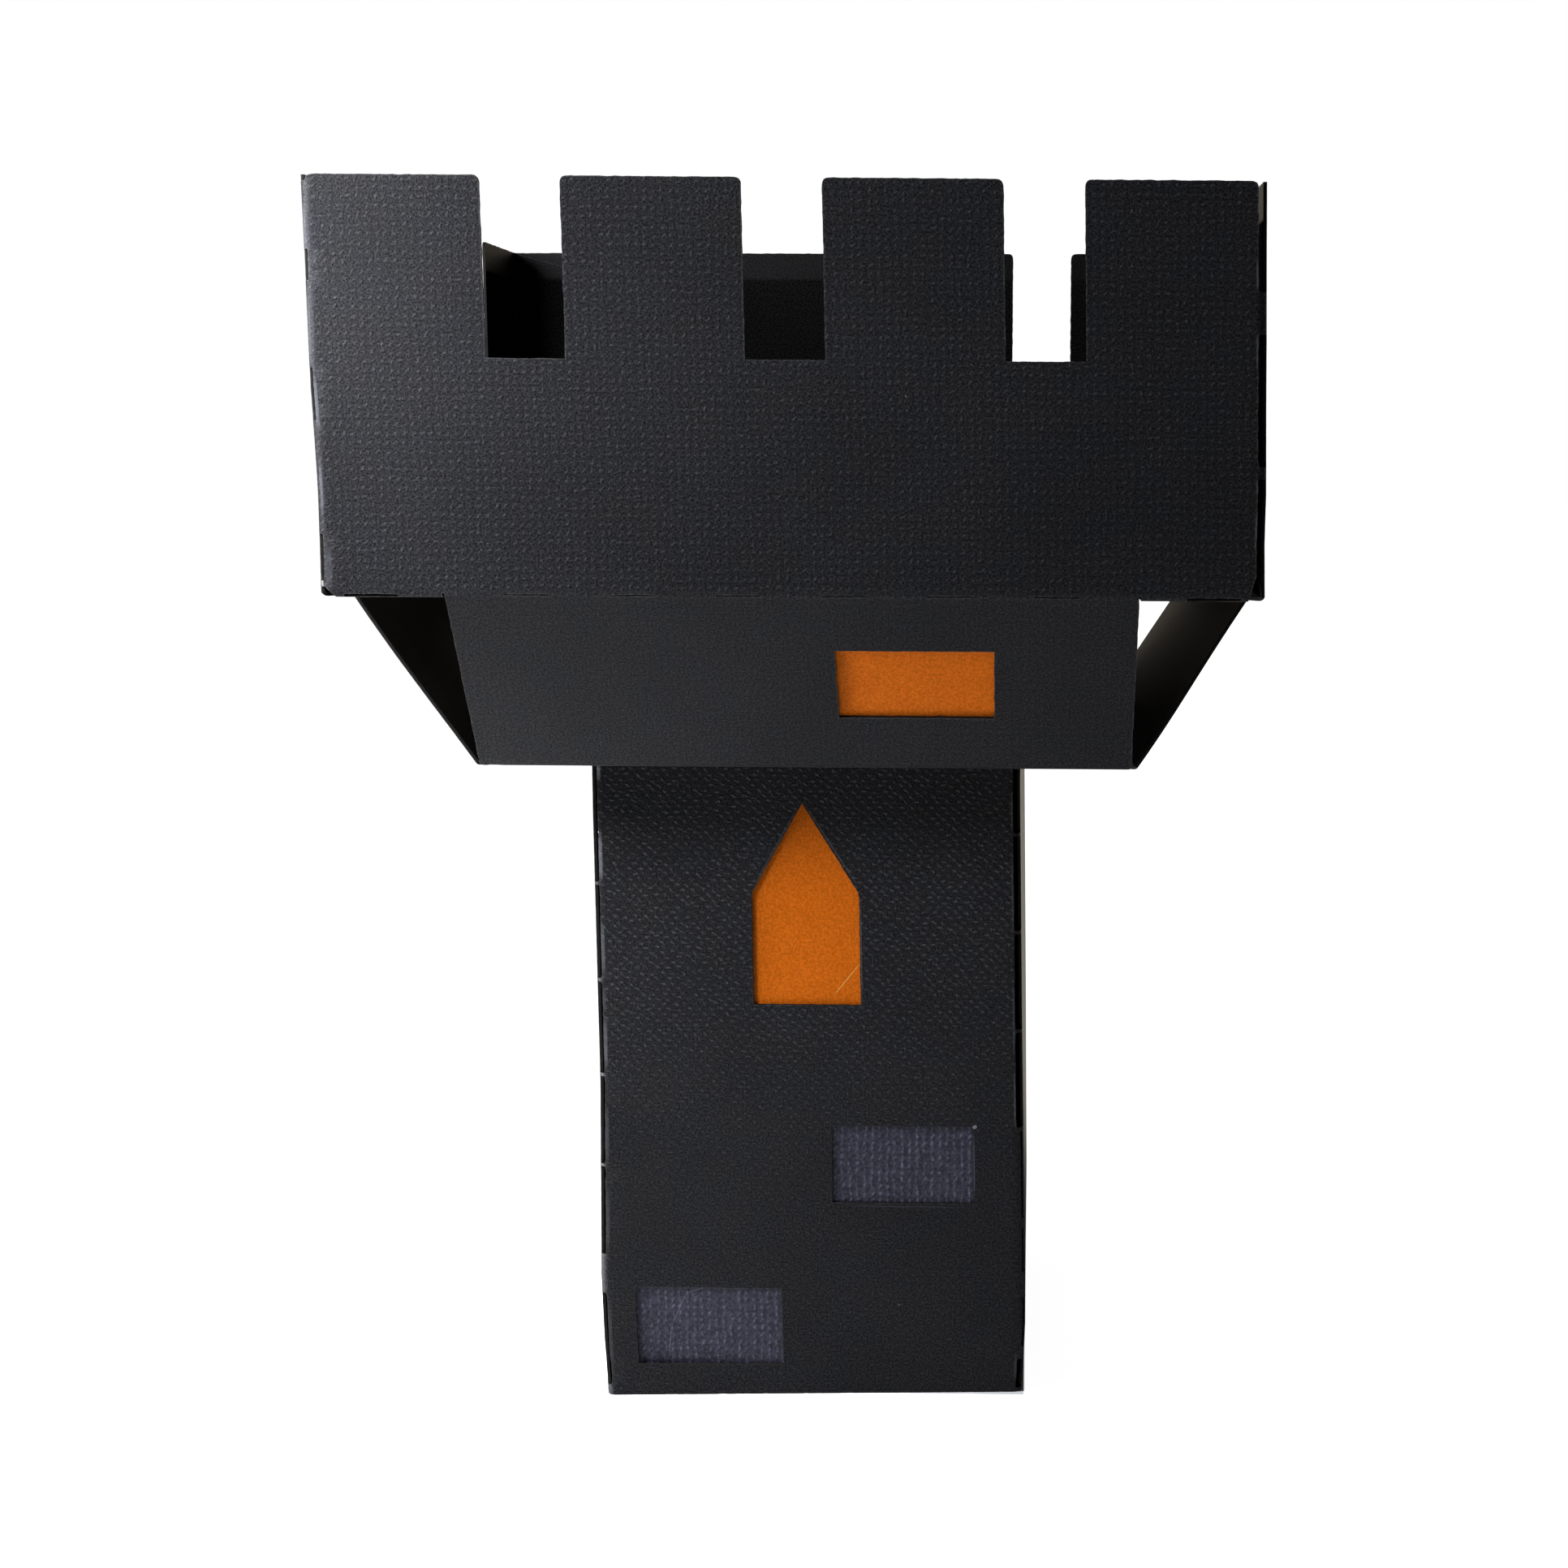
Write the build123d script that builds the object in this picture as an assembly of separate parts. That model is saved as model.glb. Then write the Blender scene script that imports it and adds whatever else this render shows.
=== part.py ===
from build123d import *
import math
import os

# Cardstock castle tower, folded and glued from flat sheets.
# Frame: +Z up, the front faces -Y, the origin lies under the middle of the tower on the surface it stands on.
# Lengths are in millimetres.

# The sheet and its folds
sheet = 0.3
bend_leg = 0.65
slit_length = 3.65
slit_gap = 0.2
mitre_clearance = 0.15
tab_taper = 2.0
overrun = 1.0

# Tower
tower_width = 39.8
tower_height = 61.25
tower_slit_pitch = 8.7
tower_tab_width = 9.0
tower_top_tab_depth = 8.0

# Parapet
parapet_width = 77.5
parapet_wall_height = 33.4
merlon_width = 14.5
crenels_per_wall = 3
crenel_depth = 14.4
merlon_corner_radius = 0.5
parapet_slit_pitch = 11.7
parapet_slit_length = 3.8
parapet_tab_width = 8.0

# Corbels under the parapet, and the flaps beside them
corbel_width = 57.0
corbel_drop = 15.6
corbel_slits = 6
corbel_slit_pitch = 8.7
corbel_flap_to_tower = 1.6
corner_flap_depth_share = 0.55
corner_flap_setback = 0.9
corner_flap_tie_share = 0.15

# Floor between tower and parapet
floor_play = 0.2
floor_corner_cut = 1.5

# Arched window in the tower
arch_width = 10.0
arch_shoulder_height = 10.45
arch_rise = 8.4
arch_sill_level = 37.6
arch_shoulder_radius = 0.6
arch_backing_margin = 3.0

# Brick-shaped openings, each measured from the nearer side of the tower and from its foot
upper_brick_width = 13.2
upper_brick_height = 7.4
upper_brick_from_right = 4.75
upper_brick_level = 18.7
upper_brick_uncut_corner = 0.65
lower_brick_width = 13.75
lower_brick_height = 7.4
lower_brick_from_left = 3.25
lower_brick_level = 2.85
brick_backing_margin = 2.4

# Opening in the front corbel, measured down the slope from its upper fold
corbel_window_width = 13.3
corbel_window_height = 7.25
corbel_window_left = 3.3
corbel_window_down = 5.7
corbel_backing_margin = 2.4

# Levels and places that follow
half_tower = tower_width / 2
half_parapet = parapet_width / 2
half_corbel_foot = corbel_width / 2
corbel_inset = half_parapet - half_corbel_foot
corbel_flap_depth = half_corbel_foot - half_tower - corbel_flap_to_tower
floor_level = tower_height
corbel_foot_level = floor_level - sheet
wall_foot_level = corbel_foot_level + corbel_drop
total_height = wall_foot_level + parapet_wall_height
corbel_slope = math.hypot(corbel_inset, corbel_drop)
corbel_angle = math.degrees(math.atan2(corbel_drop, corbel_inset))
crenel_width = (parapet_width - (crenels_per_wall + 1) * merlon_width) / crenels_per_wall
crenel_pitch = merlon_width + crenel_width
upper_brick_left = half_tower - upper_brick_from_right - upper_brick_width
lower_brick_left = lower_brick_from_left - half_tower

FRONT = Plane.XZ
SIDE_SECTION = Plane.YZ


def tube(width, height):
    """Square tube of sheet, bevelled where it bends, sharp at the back left corner where its ends meet."""
    outline = Rectangle(width, width)
    seam = outline.vertices().sort_by(Axis.X)[:2].sort_by(Axis.Y)[-1]
    bends = [corner for corner in outline.vertices() if corner != seam]
    outer = chamfer(bends, bend_leg)
    inner = offset(outer, amount=-sheet, kind=Kind.INTERSECTION)
    return extrude(outer - inner, height)


def glue_tab(width, height, tab_width):
    """Tab with tapered ends, lying inside the back wall from the back left corner."""
    seam = -width / 2
    outline = Polyline(
        (seam, 0),
        (seam + tab_width, tab_taper),
        (seam + tab_width, height - tab_taper),
        (seam, height),
        close=True,
    )
    back = Plane.XZ.offset(-(width / 2 - sheet))
    return extrude(back * make_face(outline), sheet)


def bend_slits(width, levels, length):
    """Cutters that open the three bends of a tube over each slit of its perforation."""
    corner = width / 2 - bend_leg / 2
    cutters = []
    for level in levels:
        for x, y in ((-corner, -corner), (corner, -corner), (corner, corner)):
            cutters.append(Pos(x, y, level) * Box(bend_leg, bend_leg, length))
    return cutters


def panel_face(points):
    """Closed outline in the front plane, from its corner points."""
    return make_face(Polyline(*points, close=True))


def brick_outline(left, level, width, height, uncut_corner):
    """Brick-shaped opening whose upper left corner may be left uncut."""
    right = left + width
    top = level + height
    if uncut_corner > 0:
        corner = [(left, top - uncut_corner), (left + uncut_corner, top)]
    else:
        corner = [(left, top)]
    return panel_face([(left, level), *corner, (right, top), (right, level)])


def arch_outline():
    """Upright opening with a pointed head."""
    half = arch_width / 2
    shoulder = arch_sill_level + arch_shoulder_height
    face = panel_face(
        [
            (-half, arch_sill_level),
            (-half, shoulder),
            (0, shoulder + arch_rise),
            (half, shoulder),
            (half, arch_sill_level),
        ]
    )
    shoulders = face.vertices().group_by(Axis.Y)[1]
    return fillet(shoulders, arch_shoulder_radius)


def through_front(face, width):
    """Cutter through the front wall of a tube of this width."""
    plane = FRONT.offset(width / 2 + overrun)
    return extrude(plane * face, -(sheet + overrun * 2))


def backing(left, level, width, height, margin):
    """Rectangle of card on the inner face of the tower's front wall, round one opening."""
    low = max(level - margin, 0)
    tall = level + height + margin - low
    middle = Pos(left + width / 2, low + tall / 2)
    plane = FRONT.offset(half_tower - sheet)
    return extrude(plane * (middle * Rectangle(width + margin * 2, tall)), -sheet)


def tower_top_tab():
    """Tab at the top of the front wall, turned in under the floor."""
    half = half_tower - bend_leg
    deep = half_tower - tower_top_tab_depth
    outline = [
        (-half, -half_tower),
        (half, -half_tower),
        (half - tower_top_tab_depth, -deep),
        (-half + tower_top_tab_depth, -deep),
    ]
    return Pos(0, 0, tower_height - sheet) * extrude(panel_face(outline), sheet)


def tower_body():
    """One sheet: four walls, the glue tab, four top tabs and the three openings of the front."""
    body = tube(tower_width, tower_height)
    body += glue_tab(tower_width, tower_height - sheet, tower_tab_width)
    for quarter in range(4):
        body += Rot(0, 0, quarter * 90) * tower_top_tab()
    slit_count = int(tower_height / tower_slit_pitch)
    first = tower_height / 2 - tower_slit_pitch * (slit_count - 1) / 2
    levels = [first + tower_slit_pitch * step for step in range(slit_count)]
    body -= bend_slits(tower_width, levels, slit_length)
    body -= through_front(arch_outline(), tower_width)
    upper = brick_outline(
        upper_brick_left,
        upper_brick_level,
        upper_brick_width,
        upper_brick_height,
        upper_brick_uncut_corner,
    )
    body -= through_front(upper, tower_width)
    lower = brick_outline(lower_brick_left, lower_brick_level, lower_brick_width, lower_brick_height, 0)
    body -= through_front(lower, tower_width)
    return body


def crenels():
    """Cutters for the crenels of one pair of facing walls, with rounded merlon corners."""
    low = total_height - crenel_depth
    top = total_height + overrun
    radius = merlon_corner_radius
    cutters = []
    for step in range(crenels_per_wall):
        middle = crenel_pitch * (step - (crenels_per_wall - 1) / 2)
        half = crenel_width / 2
        notch = Pos(middle, (low + top) / 2) * Rectangle(crenel_width, top - low)
        mouth = Pos(middle, total_height) * Rectangle(crenel_width + radius * 2, radius * 2)
        for side in (-1, 1):
            mouth -= Pos(middle + side * (half + radius), total_height - radius) * Circle(radius)
        cutters.append(extrude(FRONT * (notch + mouth), half_parapet + overrun, both=True))
    return cutters


def corbel():
    """Sloping panel under the front wall and the flap at its foot, mitred towards its neighbours."""
    path = Polyline(
        (-half_parapet, wall_foot_level + sheet),
        (-half_parapet, wall_foot_level),
        (-half_corbel_foot, corbel_foot_level),
        (-half_corbel_foot + corbel_flap_depth, corbel_foot_level),
    )
    section = offset(path, amount=sheet, side=Side.LEFT, kind=Kind.INTERSECTION)
    strip = extrude(SIDE_SECTION * make_face(section), corbel_width / 2, both=True)
    reach = half_parapet + overrun
    wedge = panel_face([(0, -mitre_clearance), (-reach, -reach - mitre_clearance), (reach, -reach - mitre_clearance)])
    room = Pos(0, 0, corbel_foot_level - overrun) * extrude(wedge, corbel_drop + overrun * 2)
    return strip & room


def corbel_slit_cutters():
    """Cutters for the perforation between the front wall and its corbel."""
    half_turn = (90 - corbel_angle) / 2
    cutters = []
    for step in range(corbel_slits):
        x = corbel_slit_pitch * (step - (corbel_slits - 1) / 2)
        place = Pos(x, -half_parapet, wall_foot_level) * Rot(half_turn, 0, 0)
        cutters.append(place * Box(slit_length, sheet * 4, slit_gap))
    return cutters


def corner_flaps():
    """The two narrow flaps beside the front corbel, turned in and held by a tie at each end."""
    outer = half_parapet - corner_flap_setback
    inner = half_corbel_foot + mitre_clearance
    depth = (outer - inner) * corner_flap_depth_share
    tie_width = (outer - inner) * corner_flap_tie_share
    y = -half_parapet
    flap = panel_face([(-outer, y), (-outer + depth, y + depth), (-inner, y + depth), (-inner, y)])
    top = wall_foot_level - slit_gap
    plate = Pos(0, 0, top - sheet) * extrude(flap, sheet)
    for start in (-outer, -inner - tie_width):
        tie = Pos(start + tie_width / 2, y + sheet / 2, wall_foot_level - slit_gap / 2)
        plate += tie * Box(tie_width, sheet, slit_gap)
    return plate + mirror(plate, Plane.YZ)


def slope_plane():
    """Plane on the outside of the front corbel: x along the fold, y up the slope, z outwards."""
    return Plane(
        origin=(0, -half_parapet, wall_foot_level),
        x_dir=(1, 0, 0),
        z_dir=(0, -corbel_drop, -corbel_inset),
    )


def on_slope(width, height):
    """Rectangle of this size round the middle of the corbel's opening."""
    x = corbel_window_left + corbel_window_width / 2
    y = -(corbel_window_down + corbel_window_height / 2)
    return slope_plane() * (Pos(x, y) * Rectangle(width, height))


def parapet():
    """One sheet: four crenellated walls, the glue tab, corbels, corner flaps and the corbel's opening."""
    ring = tube(parapet_width, parapet_wall_height)
    ring += glue_tab(parapet_width, parapet_wall_height, parapet_tab_width)
    body = Pos(0, 0, wall_foot_level) * ring
    for quarter in range(4):
        turn = Rot(0, 0, quarter * 90)
        body += turn * corbel()
        body += turn * corner_flaps()
        body -= [turn * cutter for cutter in corbel_slit_cutters()]
    first = wall_foot_level + parapet_slit_length
    slit_count = int(parapet_wall_height / parapet_slit_pitch) + 1
    levels = [first + parapet_slit_pitch * step for step in range(slit_count)]
    body -= bend_slits(parapet_width, levels, parapet_slit_length)
    body -= crenels()
    body -= [Rot(0, 0, 90) * cutter for cutter in crenels()]
    window = on_slope(corbel_window_width, corbel_window_height)
    body -= extrude(window, sheet * 2, both=True)
    return body


def corbel_window_backing():
    """Rectangle of card on the inner face of the front corbel."""
    margins = corbel_backing_margin * 2
    face = on_slope(corbel_window_width + margins, corbel_window_height + margins)
    return extrude(slope_plane().offset(-sheet) * slope_plane().to_local_coords(face), -sheet)


def parapet_floor():
    """Square sheet that drops in from above, onto the corbels' flaps and the tower's tabs."""
    room = half_corbel_foot - sheet - floor_play
    square = chamfer(Rectangle(room * 2, room * 2).vertices(), floor_corner_cut)
    return Pos(0, 0, floor_level) * extrude(square, sheet)


def arch_window_backing():
    """Rectangle of card behind the arched window."""
    tall = arch_shoulder_height + arch_rise
    return backing(-arch_width / 2, arch_sill_level, arch_width, tall, arch_backing_margin)


def upper_brick_backing():
    """Rectangle of card behind the upper brick-shaped opening."""
    return backing(
        upper_brick_left, upper_brick_level, upper_brick_width, upper_brick_height, brick_backing_margin
    )


def lower_brick_backing():
    """Rectangle of card behind the lower brick-shaped opening."""
    return backing(
        lower_brick_left, lower_brick_level, lower_brick_width, lower_brick_height, brick_backing_margin
    )


pieces = {
    "tower_body": tower_body,
    "parapet": parapet,
    "parapet_floor": parapet_floor,
    "arch_window_backing": arch_window_backing,
    "corbel_window_backing": corbel_window_backing,
    "upper_brick_backing": upper_brick_backing,
    "lower_brick_backing": lower_brick_backing,
}

os.makedirs("parts", exist_ok=True)
for name, build in pieces.items():
    export_step(build(), f"parts/{name}.step")
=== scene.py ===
"""Looks of a castle tower of embossed cardstock, folded, perforated and glued from flat sheets.

Every sheet is drawn flat in millimetres, cut out, and then folded into the shared frame: +Z up, front to -Y.
"""

from __future__ import annotations

import logging
import math
from dataclasses import dataclass, field, replace
from enum import Enum
from typing import Iterable, Sequence

import bpy
import numpy as np
from mathutils import Matrix, Vector, geometry, kdtree, noise

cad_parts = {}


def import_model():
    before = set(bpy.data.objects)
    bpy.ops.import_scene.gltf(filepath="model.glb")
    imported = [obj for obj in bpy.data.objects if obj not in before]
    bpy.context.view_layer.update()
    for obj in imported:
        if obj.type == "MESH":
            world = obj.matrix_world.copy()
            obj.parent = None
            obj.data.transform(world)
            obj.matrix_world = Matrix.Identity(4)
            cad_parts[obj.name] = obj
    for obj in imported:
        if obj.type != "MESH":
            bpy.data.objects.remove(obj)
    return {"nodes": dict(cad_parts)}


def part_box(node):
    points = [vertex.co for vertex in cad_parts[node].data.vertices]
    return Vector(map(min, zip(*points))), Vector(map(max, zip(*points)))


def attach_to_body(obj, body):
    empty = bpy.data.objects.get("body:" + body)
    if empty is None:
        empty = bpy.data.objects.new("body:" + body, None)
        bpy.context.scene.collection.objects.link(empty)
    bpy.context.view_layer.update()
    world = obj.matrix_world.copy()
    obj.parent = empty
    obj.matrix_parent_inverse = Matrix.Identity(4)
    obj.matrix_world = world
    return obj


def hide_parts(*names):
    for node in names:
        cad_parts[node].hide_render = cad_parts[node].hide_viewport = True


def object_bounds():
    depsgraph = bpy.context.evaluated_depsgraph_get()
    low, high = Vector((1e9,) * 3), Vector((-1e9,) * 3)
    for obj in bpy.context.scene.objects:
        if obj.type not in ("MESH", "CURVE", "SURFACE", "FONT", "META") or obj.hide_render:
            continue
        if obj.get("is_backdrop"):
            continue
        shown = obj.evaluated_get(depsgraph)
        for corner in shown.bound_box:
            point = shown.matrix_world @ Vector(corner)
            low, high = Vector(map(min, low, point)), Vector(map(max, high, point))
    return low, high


LOG = logging.getLogger("castle")
MM = 0.001
NOISE_SEED = 7
FLAT_UV = "flat"
CREASE = "crease"
EDGE = "edge"
INSIDE = "inside"

# Colours of marks and of the studio's light, and how much longer a painted lip highlight is than the reach of its mark;
# LIP_HIGHLIGHT paints the highlight on the curled edge beside a fold.
LIP_HIGHLIGHT, LIP_SPREAD = (0.125, 0.128, 0.138), 1.7
PALE_SPOT = (0.16, 0.16, 0.16)
ARCH_EDGE = (0.09, 0.09, 0.1)
SLATE_HAIR = (0.12, 0.115, 0.16)
WHITE, WARM, PALE_WARM = (1.0, 1.0, 1.0), (1.0, 0.88, 0.7), (1.0, 0.92, 0.75)

# Part of a back bend's width that its slits open.
BACK_SHARE = (0.0, 0.5)

# Ribs of the slate cards: pitch and depth in millimetres, steps for each rib, and the angle of a sharp edge.
RIB_PITCH, RIB_DEPTH, RIB_STEPS, RIB_ANGLE = 0.7, 0.008, 8, 60.0

# Where the table's reflection and its glow change, in metres from the middle.
TABLE_BACK, TABLE_EDGE = (0.04, 0.09), (0.2, 0.6)

Array = np.ndarray
Pair = tuple[float, float]
Triple = tuple[float, float, float]
Colour = Triple
Thing = bpy.types.Object
Material = bpy.types.Material
Socket = bpy.types.NodeSocket


class Slot(Enum):
    """Material slots of the record, for the pieces that this script makes."""

    BLACK = "black_card"
    SLATE = "slate_card"


class Wall(Enum):
    """Walls of a square tube, in the order in which its sheet runs round it."""

    LEFT = 0
    FRONT = 1
    RIGHT = 2
    BACK = 3


class Bend(Enum):
    """Upright bends of a tube that have slits or marks, by their place along its sheet."""

    FRONT_LEFT = 1
    FRONT_RIGHT = 2
    BACK_RIGHT = 3


@dataclass(frozen=True)
class Card:
    """What all the sheets share, in millimetres, but for the share, the counts and the angle."""

    thickness: float = 0.3
    bend_radius: float = 0.8
    flap_radius: float = 0.4
    rim_inset: float = 0.13
    grid: float = 1.5
    fine: float = 0.16
    coarse: float = 0.32
    wobble: float = 0.05
    wobble_pitch: float = 0.6
    bend_margin: float = 0.1
    bend_room: float = 0.4
    beside_bend: float = 0.25
    clear_share: float = 0.7
    bend_columns: int = 7
    fold_rows: int = 5
    batch: int = 1500
    merge: float = 1e-5
    probe: float = 2e-3
    sharp_angle: float = 38.0


@dataclass(frozen=True)
class Brick:
    """Brick-shaped opening: lower left corner, width and height."""

    left: float
    low: float
    width: float
    height: float

    def loop(self) -> list[Pair]:
        """Corners of the opening, lower left first."""
        right, top = self.left + self.width, self.low + self.height
        return [(self.left, self.low), (right, self.low), (right, top), (self.left, top)]


@dataclass(frozen=True)
class TowerSize:
    """Tower of the castle."""

    width: float = 39.8
    height: float = 61.25
    tab_width: float = 9.0
    tab_taper: float = 2.0
    top_tab: float = 8.0
    slit_pitch: float = 8.7
    slit_length: float = 3.65
    arch_half: float = 5.0
    arch_offset: float = 0.15
    arch_sill: float = 37.6
    arch_shoulder: float = 48.05
    arch_apex: float = 56.45
    arch_soft: float = 0.35
    arch_round: Pair = (0.2, 0.3)
    tab_play: float = 0.1
    upper: Brick = Brick(1.95, 18.7, 13.2, 7.4)
    lower: Brick = Brick(-16.65, 2.85, 13.75, 7.4)


@dataclass(frozen=True)
class ParapetSize:
    """Parapet of the castle, with the corbels that hang from its walls."""

    width: float = 77.5
    foot: float = 76.55
    height: float = 33.4
    tab_width: float = 8.0
    tab_taper: float = 2.0
    crenel: float = 6.5
    crenel_pitch: float = 21.0
    crenel_depth: float = 14.4
    merlon_radius: float = 0.5
    corbel_half: float = 28.5
    corbel_in: float = 10.25
    corbel_drop: float = 15.6
    corbel_flap: float = 7.0
    corner_outer: float = 37.85
    corner_inner: float = 28.65
    corner_depth: float = 5.06
    corner_slit: float = 4.4
    corner_sag: float = 0.28
    slit_length: float = 3.65
    slit_pitch: float = 8.7
    slit_count: int = 6
    slit_split: Pair = (0.65, 0.35)
    slit_share: float = 0.5
    corner_slit_share: float = 0.6
    corner_slit_shift: float = 0.75
    corbel_lift: float = 0.12
    flap_play: float = 0.2
    left_share: Pair = (0.05, 0.72)
    right_share: Pair = (0.05, 1.0)
    tear_top: float = 9.7
    open_low: float = 24.65
    blend: float = 0.6
    seam_level: float = 0.05
    rise: float = 40.0
    wall_reach: float = 38.0
    crease_core: float = 1.4
    crease_reach: float = 0.3
    crease_strength: float = 0.6
    window: Brick = Brick(3.3, -12.95, 13.3, 7.25)


CARD = Card()
TOWER = TowerSize()
PARAPET = ParapetSize()


class FilletPath:
    """Planar path of straight runs joined by arcs, followed by its length."""

    def __init__(self, points: Sequence[Pair], radius: float) -> None:
        """Lays out the runs and arcs.

        Args:
            points: Corners of the path before rounding.
            radius: Radius of every arc.
        """
        corners = np.array(points, float)
        steps = np.diff(corners, axis=0)
        headings = np.arctan2(steps[:, 1], steps[:, 0])
        rows: list[tuple[float, float, float, float, float]] = []
        run, here = 0.0, corners[0]
        for index, heading in enumerate(headings):
            end, turn, cut = corners[index + 1], 0.0, 0.0
            if index + 1 < len(headings):
                turn = (headings[index + 1] - heading + math.pi) % math.tau - math.pi
                cut = radius * math.tan(abs(turn) / 2)
            ahead = np.array([math.cos(heading), math.sin(heading)])
            stop = end - ahead * cut
            rows.append((run, here[0], here[1], heading, 0.0))
            run += float(np.linalg.norm(stop - here))
            if turn:
                rows.append((run, stop[0], stop[1], heading, math.copysign(1 / radius, turn)))
                run += radius * abs(turn)
                following = headings[index + 1]
                here = end + np.array([math.cos(following), math.sin(following)]) * cut
        self.length = run
        self.starts, self.x, self.y, self.heading, self.curve = np.array(rows).T

    def at(self, length: Array) -> tuple[Array, Array, Array]:
        """Follows the path.

        Args:
            length: Distances along the path.

        Returns:
            The two coordinates and the heading at each distance.
        """
        piece = np.clip(np.searchsorted(self.starts, length, side="right") - 1, 0, len(self.starts) - 1)
        along = length - self.starts[piece]
        start, curve = self.heading[piece], self.curve[piece]
        heading = start + curve * along
        bent = np.where(curve == 0, 1.0, curve)
        dx = np.where(curve == 0, along * np.cos(start), (np.sin(heading) - np.sin(start)) / bent)
        dy = np.where(curve == 0, along * np.sin(start), (np.cos(start) - np.cos(heading)) / bent)
        return self.x[piece] + dx, self.y[piece] + dy, heading

    def arcs(self) -> list[Pair]:
        """Start and end of every arc, as distances along the path."""
        ends = np.append(self.starts[1:], self.length)
        return [(a, b) for a, b, c in zip(self.starts, ends, self.curve) if c != 0]


@dataclass(frozen=True)
class Stray:
    """How far one upright corner of a tube stands from its ideal place, at several heights, in millimetres."""

    levels: tuple[float, ...]
    dx: tuple[float, ...]
    dy: tuple[float, ...]
    dz: tuple[float, ...]

    def shift(self, level: Array) -> Array:
        """Shift of the corner at each height."""
        return np.stack([np.interp(level, self.levels, row) for row in (self.dx, self.dy, self.dz)], axis=1)


STRAIGHT = Stray((0.0,), (0.0,), (0.0,), (0.0,))


@dataclass(frozen=True)
class Corners:
    """The four upright corners of a tube, which take the walls between them along."""

    front_left: Stray = STRAIGHT
    front_right: Stray = STRAIGHT
    back_right: Stray = STRAIGHT
    back_left: Stray = STRAIGHT

    def shift(self, points: Array, half: float) -> Array:
        """Shift of points of a tube of this half width.

        Args:
            points: Points of the folded sheet.
            half: Half the width of the tube.

        Returns:
            The shift of each point.
        """
        across = np.clip((points[:, 0] / half + 1) / 2, 0, 1)[:, None]
        deep = np.clip((points[:, 1] / half + 1) / 2, 0, 1)[:, None]
        level = points[:, 2]
        front = self.front_left.shift(level) * (1 - across) + self.front_right.shift(level) * across
        back = self.back_left.shift(level) * (1 - across) + self.back_right.shift(level) * across
        return front * (1 - deep) + back * deep


@dataclass(frozen=True)
class Dent:
    """Soft push along the sheet's outward normal, in flat millimetres."""

    u: float
    v: float
    reach_u: float
    reach_v: float
    height: float

    def push(self, flat: Array) -> Array:
        """Height of the dent at each flat point.

        Args:
            flat: Points of the flat sheet.

        Returns:
            The height of the dent at each point.
        """
        du = (flat[:, 0] - self.u) / self.reach_u
        dv = (flat[:, 1] - self.v) / self.reach_v
        return self.height * np.exp(-(du**2 + dv**2) / 2)


class Tube:
    """Fold map of a sheet that runs round a square tube, from its glue tab to its seam."""

    def __init__(self, width: float, tab_width: float, level: float) -> None:
        """Lays out the plan of the tube.

        Args:
            width: Outer width of the tube.
            tab_width: Width of the glue tab inside the back wall.
            level: Height above the ground of flat v = 0.
        """
        half, inside = width / 2, width / 2 - CARD.thickness
        self.half = half
        self.level = level
        self.plan = FilletPath(
            [(-half + tab_width, inside), (-half, inside), (-half, -half), (half, -half), (half, half), (-half, half)],
            CARD.bend_radius,
        )
        runs = self.plan.starts[2::2]
        reach = [inside - CARD.bend_radius] + [half - CARD.bend_radius] * 3
        self.middles = {wall: float(runs[wall.value] + reach[wall.value]) for wall in Wall}
        self.dents: list[Dent] = []
        self.corners = Corners()

    def local(self, flat: Array) -> Array:
        """Distance of each flat point from the middle of the nearest wall.

        Args:
            flat: Points of the flat sheet.

        Returns:
            The distances, positive to the right.
        """
        offsets = flat[:, 0][:, None] - np.array(list(self.middles.values()))
        nearest = np.abs(offsets).argmin(axis=1)
        return offsets[np.arange(len(flat)), nearest]

    def section(self, flat: Array) -> tuple[Array, Array]:
        """Outward shift and height of each flat point, seen along its wall."""
        return np.zeros(len(flat)), flat[:, 1]

    def place(self, flat: Array) -> Array:
        """Points of the sheet's outer face in the shared frame.

        Args:
            flat: Points of the flat sheet.

        Returns:
            The same points after folding, in millimetres.
        """
        x, y, heading = self.plan.at(flat[:, 0])
        out, up = self.section(flat)
        out = out + sum((dent.push(flat) for dent in self.dents), np.zeros(len(flat)))
        points = np.stack([x + out * np.sin(heading), y - out * np.cos(heading), self.level + up], axis=1)
        return points + self.corners.shift(points, self.half)

    def creased(self, flat: Array) -> Array:
        """How far each flat point lies in an upright bend, from 0 to 1.

        Args:
            flat: Points of the flat sheet.

        Returns:
            One number for each point.
        """
        crease = np.zeros(len(flat))
        for start, end in self.plan.arcs():
            middle, half = (start + end) / 2, (end - start) / 2
            crease = np.maximum(crease, np.clip(2 - 2 * np.abs(flat[:, 0] - middle) / half, 0, 1))
        return crease

    def bend_part(self, bend: Bend, share: Pair) -> Pair:
        """Flat u of the two ends of a part of an upright bend."""
        start, end = self.plan.arcs()[bend.value]
        return start + (end - start) * share[0], start + (end - start) * share[1]

    def columns(self) -> list[Pair]:
        """Upright bends, as ranges of flat u."""
        return self.plan.arcs()

    def rows(self) -> list[Pair]:
        """Level folds, as ranges of flat v."""
        return []


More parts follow.
